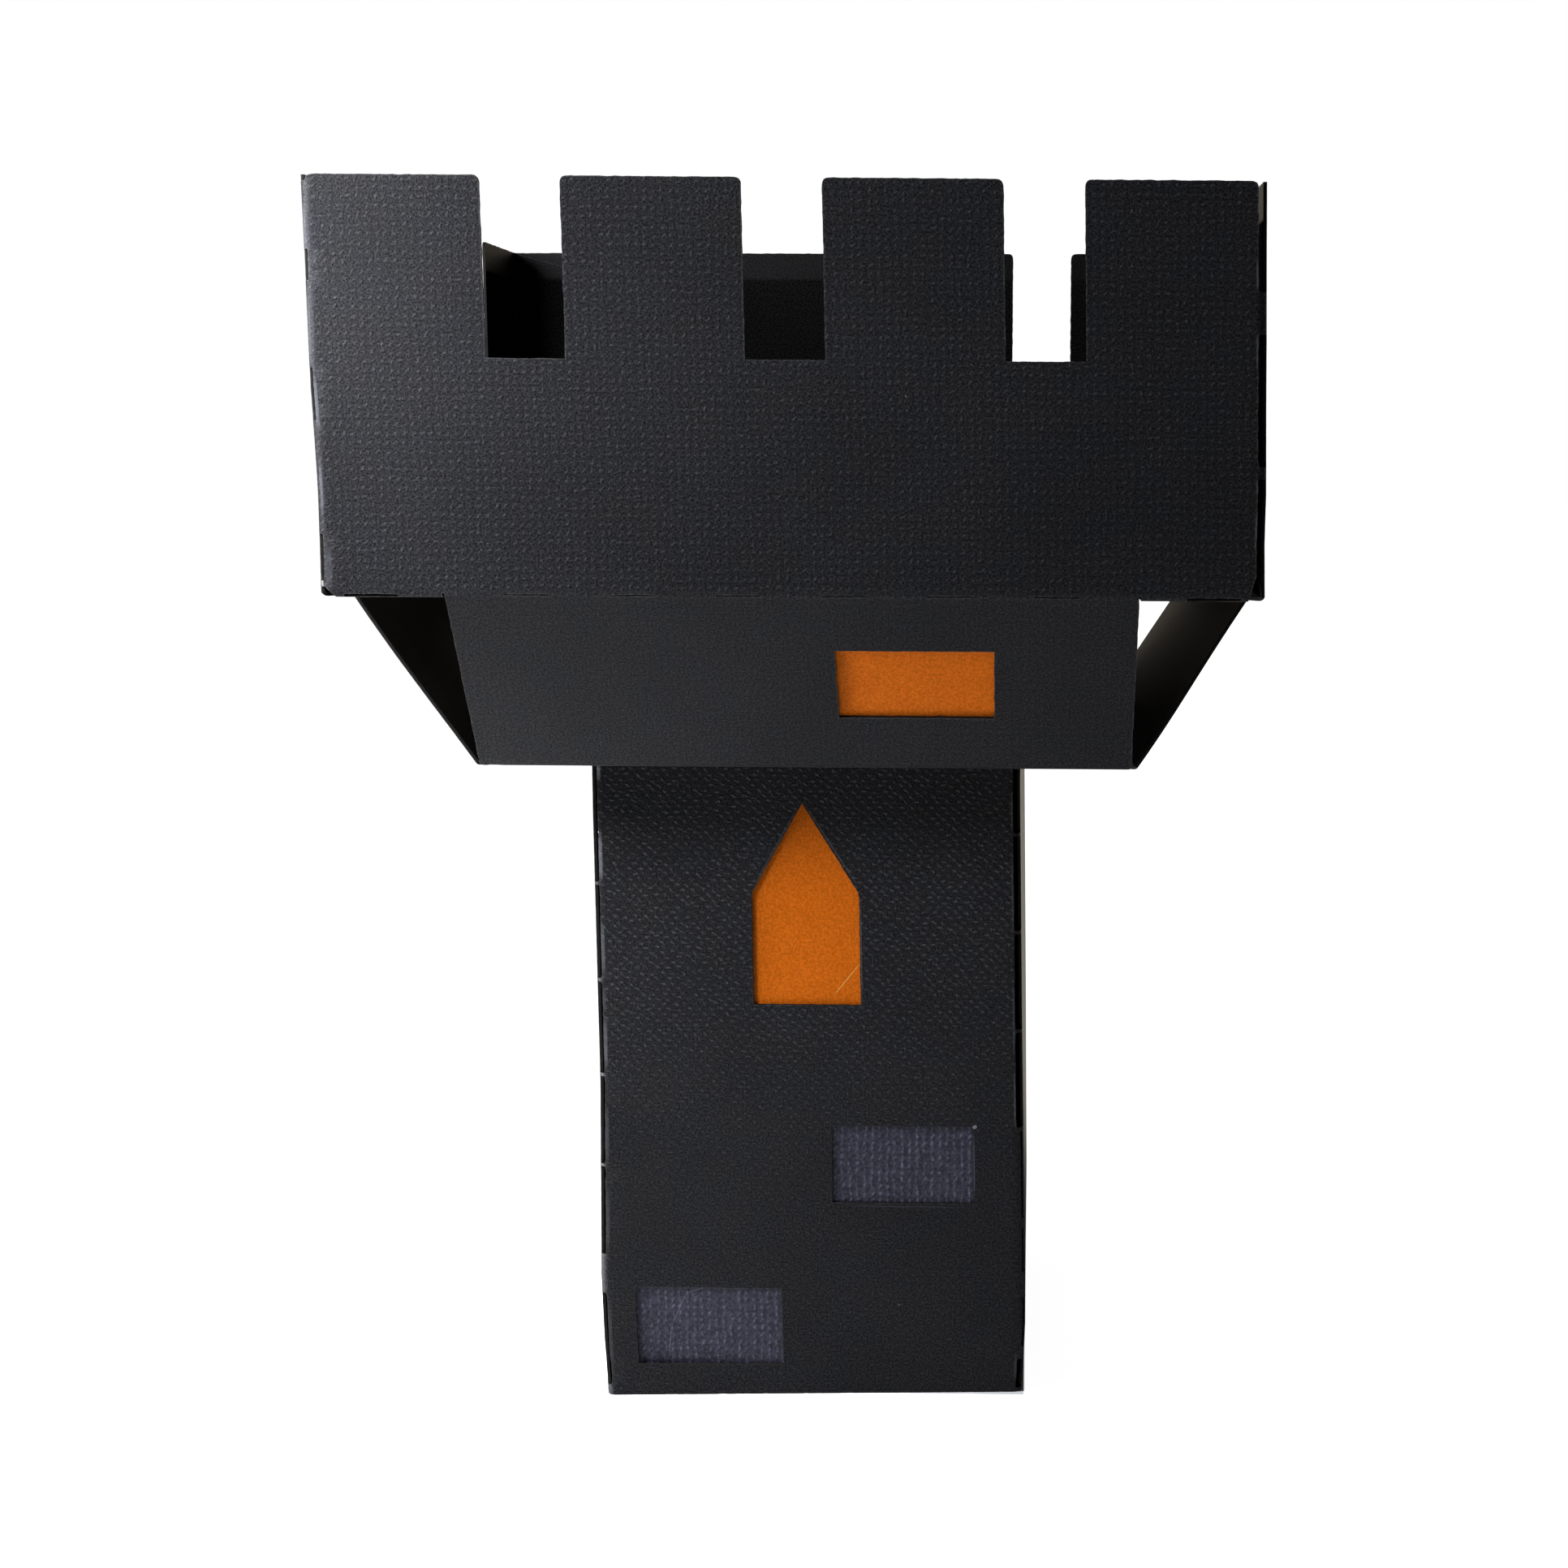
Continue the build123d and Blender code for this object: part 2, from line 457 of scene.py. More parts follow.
class TowerTube(Tube):
    """Fold map of the tower, whose top tabs turn in."""

    def __init__(self) -> None:
        """Adds the section of the top tabs."""
        super().__init__(TOWER.width, TOWER.tab_width, 0.0)
        top = TOWER.height
        self.profile = FilletPath([(0, 0), (0, top), (-TOWER.top_tab - 1, top)], CARD.flap_radius)
        self.corners = Corners(
            front_left=Stray(
                (0, 2, 5, 11, 30, 55), (0.37, 0.15, -0.1, -0.31, -0.06, -0.26), (-1.2, -0.55, -0.2, 0, 0, 0), (0.0,) * 6
            ),
            front_right=Stray(
                (0, 2, 7, 15, 35, 58), (-0.4, -0.2, -0.02, -0.12, -0.5, -0.85), (0.8, 0.4, 0.2, 0, 0, 0), (0.0,) * 6
            ),
            back_right=Stray((0, 3, 10, 30, 58), (-0.26, -0.1, 0.06, -0.15, -0.5), (0.0,) * 5, (0.0,) * 5),
        )

    def section(self, flat: Array) -> tuple[Array, Array]:
        """Outward shift and height of each flat point, seen along its wall."""
        out, up, _ = self.profile.at(flat[:, 1])
        return out, up

    def rows(self) -> list[Pair]:
        """Level folds, as ranges of flat v."""
        return self.profile.arcs()


class ParapetTube(Tube):
    """Fold map of the parapet, with corbels and corner flaps below its walls."""

    def __init__(self) -> None:
        """Adds the sections of the corbels and of the corner flaps."""
        super().__init__(PARAPET.width, PARAPET.tab_width, PARAPET.foot)
        foot = (-PARAPET.corbel_in, -PARAPET.corbel_drop)
        self.corbel = FilletPath(
            [(0, PARAPET.rise), (0, 0), foot, (foot[0] - PARAPET.corbel_flap - 1, foot[1])], CARD.flap_radius
        )
        low = -PARAPET.corner_sag
        self.corner = FilletPath([(0, PARAPET.rise), (0, low), (-PARAPET.corner_depth - 1, low)], CARD.flap_radius)
        levels = (60.9, 76.5, 81, 85, 89, 93, 97, 104, 110)
        level_left, level_right = (0.0, 0.03, 0.1, 0.15, 0.2, 0.27, 0.3, 0.36, 0.42), (-0.05, *(0.0,) * 6, -0.05, -0.08)
        left = (0.26, 0.0, -0.01, -0.03, -0.19, -0.38, -0.43, -0.5, -0.58)
        right = (0.3, 0.34, 0.24, 0.28, 0.2, 0.12, 0.06, -0.08, -0.18)
        self.corners = Corners(
            front_left=Stray(levels, left, (0.0,) * 9, level_left),
            front_right=Stray(levels, right, (0.0,) * 9, level_right),
        )
        self.dents = [
            Dent(self.middles[Wall.LEFT] + 27, -4.0, 6.0, 9.0, 0.74),
            Dent(self.middles[Wall.RIGHT] - 27, -16.0, 8.0, 6.5, 0.47),
        ]

    def section(self, flat: Array) -> tuple[Array, Array]:
        """Outward shift and height of each flat point, seen along its wall.

        Args:
            flat: Points of the flat sheet.

        Returns:
            The shifts and the heights.
        """
        down = PARAPET.rise - flat[:, 1]
        out_a, up_a, _ = self.corbel.at(down)
        out_b, up_b, _ = self.corner.at(down)
        middle = (PARAPET.corner_inner + PARAPET.corbel_half) / 2
        beyond = np.abs(self.local(flat)) - middle
        soft = np.clip(beyond / PARAPET.blend + 0.5, 0, 1)
        weight = np.where(flat[:, 1] < PARAPET.seam_level, beyond > 0, soft)
        return out_a + (out_b - out_a) * weight, up_a + (up_b - up_a) * weight

    def rows(self) -> list[Pair]:
        """Level folds, as ranges of flat v."""
        ranges = self.corbel.arcs() + self.corner.arcs()
        return [(PARAPET.rise - end, PARAPET.rise - start) for start, end in ranges]

    def creased(self, flat: Array) -> Array:
        """How far each flat point lies in a bend, from 0 to 1.

        Args:
            flat: Points of the flat sheet.

        Returns:
            One number for each point.
        """
        start, end = self.rows()[0]
        far = np.abs(flat[:, 1] - (start + end) / 2) / PARAPET.crease_reach
        level = np.clip(PARAPET.crease_core - far, 0, 1) * PARAPET.crease_strength
        return np.maximum(super().creased(flat), np.where(np.abs(self.local(flat)) < PARAPET.wall_reach, level, 0))


def near(values: Array, ranges: Sequence[Pair], margin: float) -> Array:
    """Whether each value lies in one of the ranges, widened by a margin.

    Args:
        values: Values to test.
        ranges: Lower and upper end of each range.
        margin: How far a value may lie outside.

    Returns:
        True where a value lies in a range.
    """
    inside = np.zeros(len(values), bool)
    for low, high in ranges:
        inside |= (values > low - margin) & (values < high + margin)
    return inside


def subdivide(loop: Sequence[Pair], fold: Tube) -> Array:
    """Adds points to a closed outline, closer together where the sheet bends.

    Args:
        loop: Corners of the outline.
        fold: Fold map that says where the sheet bends.

    Returns:
        The points of the finer outline.
    """
    corners = np.array(loop, float)
    points: list[Array] = []
    for start, end in zip(corners, np.roll(corners, -1, axis=0)):
        length = float(np.linalg.norm(end - start))
        steps = max(1, math.ceil(length / CARD.fine))
        line = start + (end - start) * np.linspace(0, 1, steps + 1)[:-1, None]
        fine = near(line[:, 0], fold.columns(), CARD.bend_margin) | near(line[:, 1], fold.rows(), CARD.bend_margin)
        skip = max(1, round(CARD.coarse / CARD.fine))
        keep = fine | (np.arange(len(line)) % skip == 0)
        points.append(line[keep])
    return np.concatenate(points)


def ragged(points: Array) -> Array:
    """Moves the points of an outline a little, as a knife does that follows the canvas pattern.

    The noise is the same in each run only after main has set its seed.
    """
    moved = [noise.noise_vector(Vector((u, v, 0.0)) / CARD.wobble_pitch) for u, v in points.tolist()]
    return points + np.array([tuple(shift)[:2] for shift in moved]) * CARD.wobble


def inset(points: Array, distance: float) -> Array:
    """Points beside a closed outline, on its left, one for each of its points.

    Args:
        points: Points of the outline.
        distance: How far beside it, negative for its right.

    Returns:
        The points beside it.
    """
    along = np.roll(points, -1, axis=0) - np.roll(points, 1, axis=0)
    along /= np.maximum(np.linalg.norm(along, axis=1, keepdims=True), 1e-9)
    return points + np.column_stack([-along[:, 1], along[:, 0]]) * distance


def inside_loops(points: Array, loops: Sequence[Array]) -> Array:
    """Even-odd test of points against closed outlines.

    Args:
        points: Points to test.
        loops: Outer outline and holes.

    Returns:
        True where a point lies on the sheet.
    """
    starts = np.concatenate(loops)
    ends = np.concatenate([np.roll(loop, -1, axis=0) for loop in loops])
    result = np.zeros(len(points), bool)
    slope = (ends[:, 0] - starts[:, 0]) / np.where(ends[:, 1] == starts[:, 1], 1.0, ends[:, 1] - starts[:, 1])
    for first in range(0, len(points), CARD.batch):
        part = points[first : first + CARD.batch]
        y = part[:, 1][:, None]
        straddles = (starts[:, 1] > y) != (ends[:, 1] > y)
        crossing = starts[:, 0] + (y - starts[:, 1]) * slope
        result[first : first + CARD.batch] = (straddles & (part[:, 0][:, None] < crossing)).sum(axis=1) % 2 == 1
    return result


@dataclass
class FlatSheet:
    """One sheet before folding.

    Attributes:
        outline: Outer outline, counterclockwise.
        holes: Openings and slits, clockwise or not.
        fold: How the sheet is folded.
    """

    outline: list[Pair]
    holes: list[list[Pair]]
    fold: Tube

    def lattice(self, loops: Sequence[Array]) -> Array:
        """Inner points of the sheet: a grid, closer where it bends, and a row beside every cut.

        Args:
            loops: Outline and holes, with all their points.

        Returns:
            The points, some of which lie outside the sheet.
        """
        low, high = loops[0].min(axis=0), loops[0].max(axis=0)
        u = np.arange(low[0] + CARD.grid / 2, high[0], CARD.grid)
        v = np.arange(low[1] + CARD.grid / 2, high[1], CARD.grid)
        for start, end in self.fold.columns():
            u = np.append(u[~near(u, [(start, end)], CARD.bend_room)], np.linspace(start, end, CARD.bend_columns))
            u = np.append(u, (start - CARD.beside_bend, end + CARD.beside_bend))
        for start, end in self.fold.rows():
            v = np.append(v[~near(v, [(start, end)], CARD.bend_room)], np.linspace(start, end, CARD.fold_rows))
        grid = np.stack(np.meshgrid(u, v), axis=-1).reshape(-1, 2)
        beside = [inset(loop, CARD.rim_inset * side) for loop in loops for side in (1, -1)]
        return np.concatenate([grid, *beside])

    def triangles(self) -> tuple[Array, Array]:
        """Cuts the sheet out.

        Returns:
            Flat points and triangles, counterclockwise.
        """
        loops = [ragged(subdivide(loop, self.fold)) for loop in (self.outline, *self.holes)]
        lattice = self.lattice(loops)
        border = np.concatenate(loops)
        tree = kdtree.KDTree(len(border))
        for index, point in enumerate(border.tolist()):
            tree.insert((*point, 0), index)
        tree.balance()
        gap = np.array([tree.find((*point, 0))[2] for point in lattice.tolist()])
        lattice = lattice[(gap > CARD.rim_inset * CARD.clear_share) & inside_loops(lattice, loops)]
        edges, start = [], 0
        for loop in loops:
            index = np.arange(len(loop)) + start
            edges.append(np.column_stack([index, np.roll(index, -1)]))
            start += len(loop)
        points = [Vector(point) for point in np.concatenate([border, lattice])]
        cut = geometry.delaunay_2d_cdt(points, np.concatenate(edges).tolist(), [], 0, CARD.merge)
        flat = np.array([tuple(point) for point in cut[0]])
        faces = np.array(cut[2])
        faces = faces[inside_loops(flat[faces].mean(axis=1), loops)]
        used, renumbered = np.unique(faces, return_inverse=True)
        return flat[used], renumbered.reshape(-1, 3)


def normals(fold: Tube, flat: Array) -> Array:
    """Outward normals of the folded sheet at flat points.

    Args:
        fold: Fold map of the sheet.
        flat: Points of the flat sheet.

    Returns:
        One unit vector for each point.
    """
    across, up = (fold.place(flat + step) - fold.place(flat - step) for step in np.eye(2) * CARD.probe)
    normal = np.cross(across, up)
    return normal / np.maximum(np.linalg.norm(normal, axis=1, keepdims=True), 1e-12)


def folded_mesh(name: str, sheet: FlatSheet, finishes: Sequence[Material]) -> Thing:
    """Folds a flat sheet and gives it its thickness.

    Args:
        name: Name of the new object.
        sheet: The sheet, cut out but flat.
        finishes: Materials of the faces and of the cut edges.

    Returns:
        The folded sheet as a closed mesh, with its flat coordinates as UV map.
    """
    flat, faces = sheet.triangles()
    outer = sheet.fold.place(flat)
    inner = outer - normals(sheet.fold, flat) * CARD.thickness
    sides = np.concatenate([faces[:, [0, 1]], faces[:, [1, 2]], faces[:, [2, 0]]])
    keys = {(int(a), int(b)) for a, b in sides}
    rim = np.array([side for side in keys if (side[1], side[0]) not in keys])
    count = len(flat)
    polygons = [tuple(face) for face in faces.tolist()]
    polygons += [(c + count, b + count, a + count) for a, b, c in faces.tolist()]
    polygons += [(b, a, a + count, b + count) for a, b in rim.tolist()]
    mesh = bpy.data.meshes.new(name)
    mesh.from_pydata((np.concatenate([outer, inner]) * MM).tolist(), [], polygons)
    slots = np.zeros(len(polygons), np.int32)
    slots[len(faces) * 2 :] = 1
    for finish in finishes:
        mesh.materials.append(finish)
    mesh.polygons.foreach_set("material_index", slots)
    border = np.zeros(count)
    border[np.unique(rim)] = 1
    both = np.concatenate([flat, flat])
    store(mesh, CREASE, np.tile(sheet.fold.creased(flat), 2))
    store(mesh, EDGE, np.tile(border, 2))
    store(mesh, INSIDE, np.repeat((0.0, 1.0), count))
    corners = np.zeros(len(mesh.loops), np.int32)
    mesh.loops.foreach_get("vertex_index", corners)
    layer = mesh.uv_layers.new(name=FLAT_UV)
    layer.data.foreach_set("uv", both[corners].astype(np.float32).ravel())
    return shaded(name, mesh, CARD.sharp_angle)


def store(mesh: bpy.types.Mesh, name: str, values: Array) -> None:
    """Keeps one number for each vertex under a name."""
    attribute = mesh.attributes.new(name, "FLOAT", "POINT")
    attribute.data.foreach_set("value", values.astype(np.float32))


def placed(name: str, data: bpy.types.ID) -> Thing:
    """Puts an object with this data in the scene.

    Args:
        name: Name of the object.
        data: Its data.

    Returns:
        The object.
    """
    thing = bpy.data.objects.new(name, data)
    bpy.context.scene.collection.objects.link(thing)
    return thing


def shaded(name: str, mesh: bpy.types.Mesh, angle: float) -> Thing:
    """Puts a mesh in the scene, smooth but for its edges above an angle in degrees.

    Args:
        name: Name of the object.
        mesh: Its mesh.
        angle: The angle.

    Returns:
        The object.
    """
    mesh.validate()
    mesh.shade_smooth()
    mesh.set_sharp_from_angle(angle=math.radians(angle))
    mesh.update()
    return placed(name, mesh)


@dataclass(frozen=True)
class Ramp:
    """Smooth step: two inputs and the results that they give."""

    low: float
    high: float
    to_low: float = 0.0
    to_high: float = 1.0


@dataclass(frozen=True)
class Grain:
    """Noise: its scale, detail and roughness."""

    scale: float
    detail: float
    roughness: float = 0.5


class NodeGraph:
    """Short way to build a node tree: nodes are added with their settings and inputs in one call."""

    def __init__(self, tree: bpy.types.NodeTree) -> None:
        """Keeps the tree that is built and empties it."""
        self.tree = tree
        tree.nodes.clear()

    def add(self, kind: str, settings: dict | None = None, **inputs: object) -> bpy.types.Node:
        """Adds a node.

        Args:
            kind: Type name of the node.
            settings: Properties to set on the node.
            **inputs: Socket values or links. Socket names are written with underscores, and a plain number is the
                place of the socket, written as in0 or in1.

        Returns:
            The new node.
        """
        node = self.tree.nodes.new(kind)
        for name, value in (settings or {}).items():
            setattr(node, name, value)
        for name, value in inputs.items():
            key = int(name[2:]) if name[:2] == "in" and name[2:].isdigit() else name.replace("_", " ")
            socket = node.inputs[key]
            if isinstance(value, bpy.types.NodeSocket):
                self.tree.links.new(value, socket)
            else:
                socket.default_value = value
        return node

    def math(self, operation: str, *values: object) -> Socket:
        """Adds a math node and returns its result."""
        inputs = {f"in{index}": value for index, value in enumerate(values)}
        return self.add("ShaderNodeMath", {"operation": operation}, **inputs).outputs[0]

    def times(self, a: object, b: object) -> Socket:
        """Multiplies two numbers."""
        return self.math("MULTIPLY", a, b)

    def vector(self, operation: str, *values: object) -> Socket:
        """Adds a vector math node and returns its result.

        Args:
            operation: The operation.
            *values: Values or links of its inputs.

        Returns:
            The result, a number or a vector.
        """
        inputs = {f"in{index}": value for index, value in enumerate(values)}
        node = self.add("ShaderNodeVectorMath", {"operation": operation}, **inputs)
        return node.outputs["Value" if operation in ("LENGTH", "DOT_PRODUCT") else "Vector"]

    def scaled(self, vector: Socket, factor: Socket) -> Socket:
        """Multiplies a vector or a colour by a number."""
        return self.add("ShaderNodeVectorMath", {"operation": "SCALE"}, in0=vector, Scale=factor).outputs[0]

    def axes(self, vector: Socket) -> Sequence[Socket]:
        """Takes a vector apart."""
        return self.add("ShaderNodeSeparateXYZ", Vector=vector).outputs

    def noise(self, place: Socket, grain: Grain, output: int | str = 0) -> Socket:
        """Adds a noise texture."""
        inputs = {"Scale": grain.scale, "Detail": grain.detail, "Roughness": grain.roughness}
        return self.add("ShaderNodeTexNoise", Vector=place, **inputs).outputs[output]

    def attribute(self, name: str) -> Socket:
        """Reads a number that the mesh keeps for each vertex."""
        return self.add("ShaderNodeAttribute", {"attribute_name": name}).outputs["Fac"]

    def ramp(self, value: object, ramp: Ramp) -> Socket:
        """Adds a smooth map range node and returns its result."""
        inputs = {"in1": ramp.low, "in2": ramp.high, "in3": ramp.to_low, "in4": ramp.to_high}
        return self.add("ShaderNodeMapRange", {"interpolation_type": "SMOOTHSTEP"}, in0=value, **inputs).outputs[0]

    def mix(self, factor: object, a: object, b: object) -> Socket:
        """Mixes two colours.

        Args:
            factor: Share of the second colour.
            a: First colour, or a link.
            b: Second colour, or a link.

        Returns:
            The mixed colour.
        """
        node = self.add("ShaderNodeMix", {"data_type": "RGBA"}, in0=factor)
        for index, value in ((6, a), (7, b)):
            if isinstance(value, bpy.types.NodeSocket):
                self.tree.links.new(value, node.inputs[index])
            else:
                node.inputs[index].default_value = (*value, 1.0)
        return node.outputs[2]


def new_material(name: str) -> tuple[Material, NodeGraph]:
    """Opens a node material.

    Args:
        name: Name of the material.

    Returns:
        The material and its empty tree.
    """
    material = bpy.data.materials.new(name)
    material.use_nodes = True
    return material, NodeGraph(material.node_tree)


# Noises, smooth steps and shares of the materials. Heights on a sheet are in millimetres, the footprint in metres.
MARK_NOISE, MARK_COVER = Grain(3.0, 3.0, 0.7), Ramp(0.3, 0.6, 0.6, 1.0)
MARK_CORE = 0.1
DASH_WOBBLE, WOBBLE_SHARE = Grain(0.25, 1.0), (0.5, 0.5, 0)
DASH_TILT, DASH_TILT_MIDDLE = 0.9, -0.45
DASH_FORM, DASH_LUCK = Ramp(0.0, 1.0, 1.0, 0.0), Ramp(0.15, 0.8, 0.6, 1.0)
# DASH_GROUND darkens the card between dashes, against their painted highlight.
DASH_GROUND, INNER_DASH = 0.88, Ramp(0.0, 1.0, 1.0, 0.3)
PAPER_GRAIN = Grain(6.0, 2.0, 0.6)
CLOUD, CLOUD_SHADE = Grain(0.09, 2.0), Ramp(0.3, 0.7, 0.92, 1.08)
SPECK, SPECK_SHADE = Grain(5.5, 2.0, 0.75), Ramp(0.36, 0.64, 0.28, 1.72)
TOOTH, TOOTH_WEAR = Grain(2.6, 3.0, 0.7), Ramp(0.35, 0.68, 0.1, 1.0)
CREASE_WEAR = 0.1
HUE, HUE_SHARE, HUE_TINTS = Grain(0.22, 1.0), Ramp(0.35, 0.65), ((0.97, 1.0, 1.04), (1.02, 0.99, 0.98))
RIM_HEIGHT, FOOT_GLOSS, GRAZING = Ramp(30.3, 30.8), Ramp(-0.6, 0.0, 0.4, 0.0), Ramp(0.88, 0.98, 0.0, 0.2)
PLAIN_SHARE, CORE_DEPTH = Ramp(0.3, 0.7), Ramp(0.0, 0.45)
BACKDROP_SIDE, BACKDROP_FOOT = Ramp(0.5, 0.95), Ramp(0.0, 0.12, 0.15, 1.0)
FOOTPRINT = Ramp(0.0197, 0.0199)


@dataclass(frozen=True)
class Mark:
    """Soft mark on a face.

    Attributes:
        place: Its middle, in the pattern's own coordinates.
        reach: How far it reaches along and across.
        turn: Its turn in degrees.
        colour: Its colour.
        strength: How much of the face it covers, from 0 to 1.
    """

    place: Pair
    reach: Pair
    turn: float
    colour: Colour
    strength: float


def marked(graph: NodeGraph, place: Socket, marks: Sequence[Mark], colour: Socket) -> Socket:
    """Lays marks over a colour.

    Args:
        graph: Tree that is built.
        place: Coordinates of the pattern.
        marks: The marks.
        colour: Colour of the bare face.

    Returns:
        Colour with the marks.
    """
    if not marks:
        return colour
    rough = graph.ramp(graph.noise(place, MARK_NOISE), MARK_COVER)
    for mark in marks:
        local = graph.add(
            "ShaderNodeMapping",
            {"vector_type": "TEXTURE"},
            Vector=place,
            Location=(*mark.place, 0),
            Rotation=(0, 0, math.radians(mark.turn)),
            Scale=(*mark.reach, 1),
        ).outputs[0]
        level = graph.vector("MULTIPLY", local, (1, 1, 0))
        far = graph.vector("LENGTH", graph.vector("MULTIPLY", level, level))
        near_middle = graph.ramp(far, Ramp(MARK_CORE, 1.0, mark.strength, 0.0))
        colour = graph.mix(graph.times(near_middle, rough), colour, mark.colour)
    return colour


@dataclass(frozen=True)
class Emboss:
    """Canvas pattern pressed into the card: raised dashes in rows.

    Attributes:
        pitch: Distance between dashes, in millimetres.
        turn: Turn of the rows, in degrees.
        lean: Turn of each dash, in degrees.
        scatter: How far the dashes leave their rows, from 0 to 1.
        depth: Height of a dash, in millimetres.
        painted_highlight: How much lighter a dash is painted, as the highlight on its lit slope.
        size: How often a dash fits into the pitch, along and across.
        fade: Strength of the pattern over the height of the flat sheet.
    """

    pitch: float
    turn: float
    lean: float
    scatter: float
    depth: float
    painted_highlight: float
    size: Pair = (1.9, 4.2)
    fade: Ramp = Ramp(-90.0, -80.0, 1.0, 1.0)

    def build(self, graph: NodeGraph, flat: Socket) -> Socket:
        """Adds the nodes of the pattern.

        Args:
            graph: Tree that is built.
            flat: Coordinates of the pattern, in millimetres.

        Returns:
            Height of the pressed dashes, from 0 to 1.
        """
        turned = graph.add(
            "ShaderNodeMapping", Vector=flat, Rotation=(0, 0, math.radians(self.turn)), Scale=(1 / self.pitch,) * 3
        ).outputs[0]
        wobble = graph.noise(flat, DASH_WOBBLE, "Color")
        moved = graph.vector("ADD", turned, graph.vector("MULTIPLY", wobble, WOBBLE_SHARE))
        cells = graph.add(
            "ShaderNodeTexVoronoi", {"voronoi_dimensions": "2D"}, Vector=moved, Scale=1.0, Randomness=self.scatter
        )
        offset = graph.vector("SUBTRACT", moved, cells.outputs["Position"])
        chance = graph.vector("DOT_PRODUCT", cells.outputs["Color"], (0.0, 0.0, 1.0))
        tilt = graph.math("MULTIPLY_ADD", chance, DASH_TILT, DASH_TILT_MIDDLE)
        angle = graph.math("ADD", tilt, math.radians(-self.turn - self.lean))
        spin = graph.add("ShaderNodeVectorRotate", {"rotation_type": "Z_AXIS"}, Vector=offset, Angle=angle).outputs[0]
        far = graph.vector("LENGTH", graph.vector("MULTIPLY", spin, (*self.size, 0)))
        luck = graph.ramp(graph.vector("DOT_PRODUCT", cells.outputs["Color"], (0.5, 0.5, 0.0)), DASH_LUCK)
        luck = graph.times(luck, graph.ramp(graph.axes(flat)[1], self.fade))
        return graph.times(graph.ramp(far, DASH_FORM), luck)

    def press(self, graph: NodeGraph, height: Socket, dash: Socket) -> tuple[Socket, Socket]:
        """Adds the dashes to the height of the face, and says how light their painted highlight makes it."""
        shade = graph.ramp(dash, Ramp(0.0, 1.0, DASH_GROUND, 1.0 + self.painted_highlight))
        return graph.math("ADD", height, graph.times(dash, self.depth)), shade


@dataclass(frozen=True)
class CardFinish:
    """Looks of a sheet of card.

    Attributes:
        name: Name of the material.
        colour: Base colour of the face.
        worn: Colour at creases and cut edges.
        roughness: Roughness of the face.
        inside: Base colour of the face that the folds hide, darker and warmer than the outer face: painted shade inside
            the folded tube.
        emboss: Pressed pattern.
        grain: Height of the paper grain, in millimetres.
        burr: How worn the cut edges are, from 0 to 1.
        specular: Strength of its reflections.
        marks: Marks, on the flat sheet.
    """

    name: str
    colour: Colour
    worn: Colour
    inside: Colour
    roughness: float
    emboss: Emboss
    grain: float
    burr: float = 0.3
    specular: float = 0.08
    marks: tuple[Mark, ...] = ()

    def build(self) -> Material:
        """Builds the node material, on the sheet's own flat coordinates.

        Returns:
            The material.
        """
        material, graph = new_material(self.name)
        flat = graph.add("ShaderNodeUVMap", {"uv_map": FLAT_UV}).outputs["UV"]
        inside, crease, edge = (graph.attribute(name) for name in (INSIDE, CREASE, EDGE))
        height = graph.times(graph.noise(flat, PAPER_GRAIN), self.grain)
        cloud, speck = graph.noise(flat, CLOUD), graph.noise(flat, SPECK)
        shade = graph.times(graph.ramp(cloud, CLOUD_SHADE), graph.ramp(speck, SPECK_SHADE))
        dash = graph.times(self.emboss.build(graph, flat), graph.ramp(inside, INNER_DASH))
        # light is the painted highlight of the dashes, multiplied into the base colour below.
        height, light = self.emboss.press(graph, height, dash)
        bump = graph.add("ShaderNodeBump", Strength=1.0, Distance=MM, Height=height)
        folds, cuts = graph.times(crease, CREASE_WEAR), graph.times(edge, self.burr)
        worn = graph.math("MAXIMUM", folds, cuts)
        worn = graph.times(worn, graph.ramp(graph.noise(flat, TOOTH), TOOTH_WEAR))
        cool, warm = (tuple(np.multiply(self.colour, tint).tolist()) for tint in HUE_TINTS)
        # The inner face takes the darker inside colour, painted shade inside the tube.
        base = graph.mix(inside, graph.mix(graph.ramp(graph.noise(flat, HUE), HUE_SHARE), cool, warm), self.inside)
        base = graph.scaled(base, graph.times(shade, light))
        colour = marked(graph, flat, self.marks, graph.mix(worn, base, self.worn))
        facing = graph.add("ShaderNodeLayerWeight", Blend=0.5).outputs["Facing"]
        level = graph.axes(flat)[1]
        bare = graph.math("MAXIMUM", graph.math("SUBTRACT", 1.0, inside), graph.ramp(level, RIM_HEIGHT))
        gloss = graph.math("MAXIMUM", bare, graph.ramp(level, FOOT_GLOSS))
        shader = graph.add(
            "ShaderNodeBsdfPrincipled",
            Base_Color=colour,
            Roughness=self.roughness,
            Specular_IOR_Level=graph.times(gloss, self.specular),
            Normal=bump.outputs[0],
            Coat_Weight=graph.times(graph.ramp(facing, GRAZING), bare),
            Coat_Roughness=0.32,
            Coat_IOR=1.5,
            Coat_Tint=(1.0, 0.96, 0.88, 1.0),
        )
        graph.add("ShaderNodeOutputMaterial", Surface=shader.outputs[0])
        return material


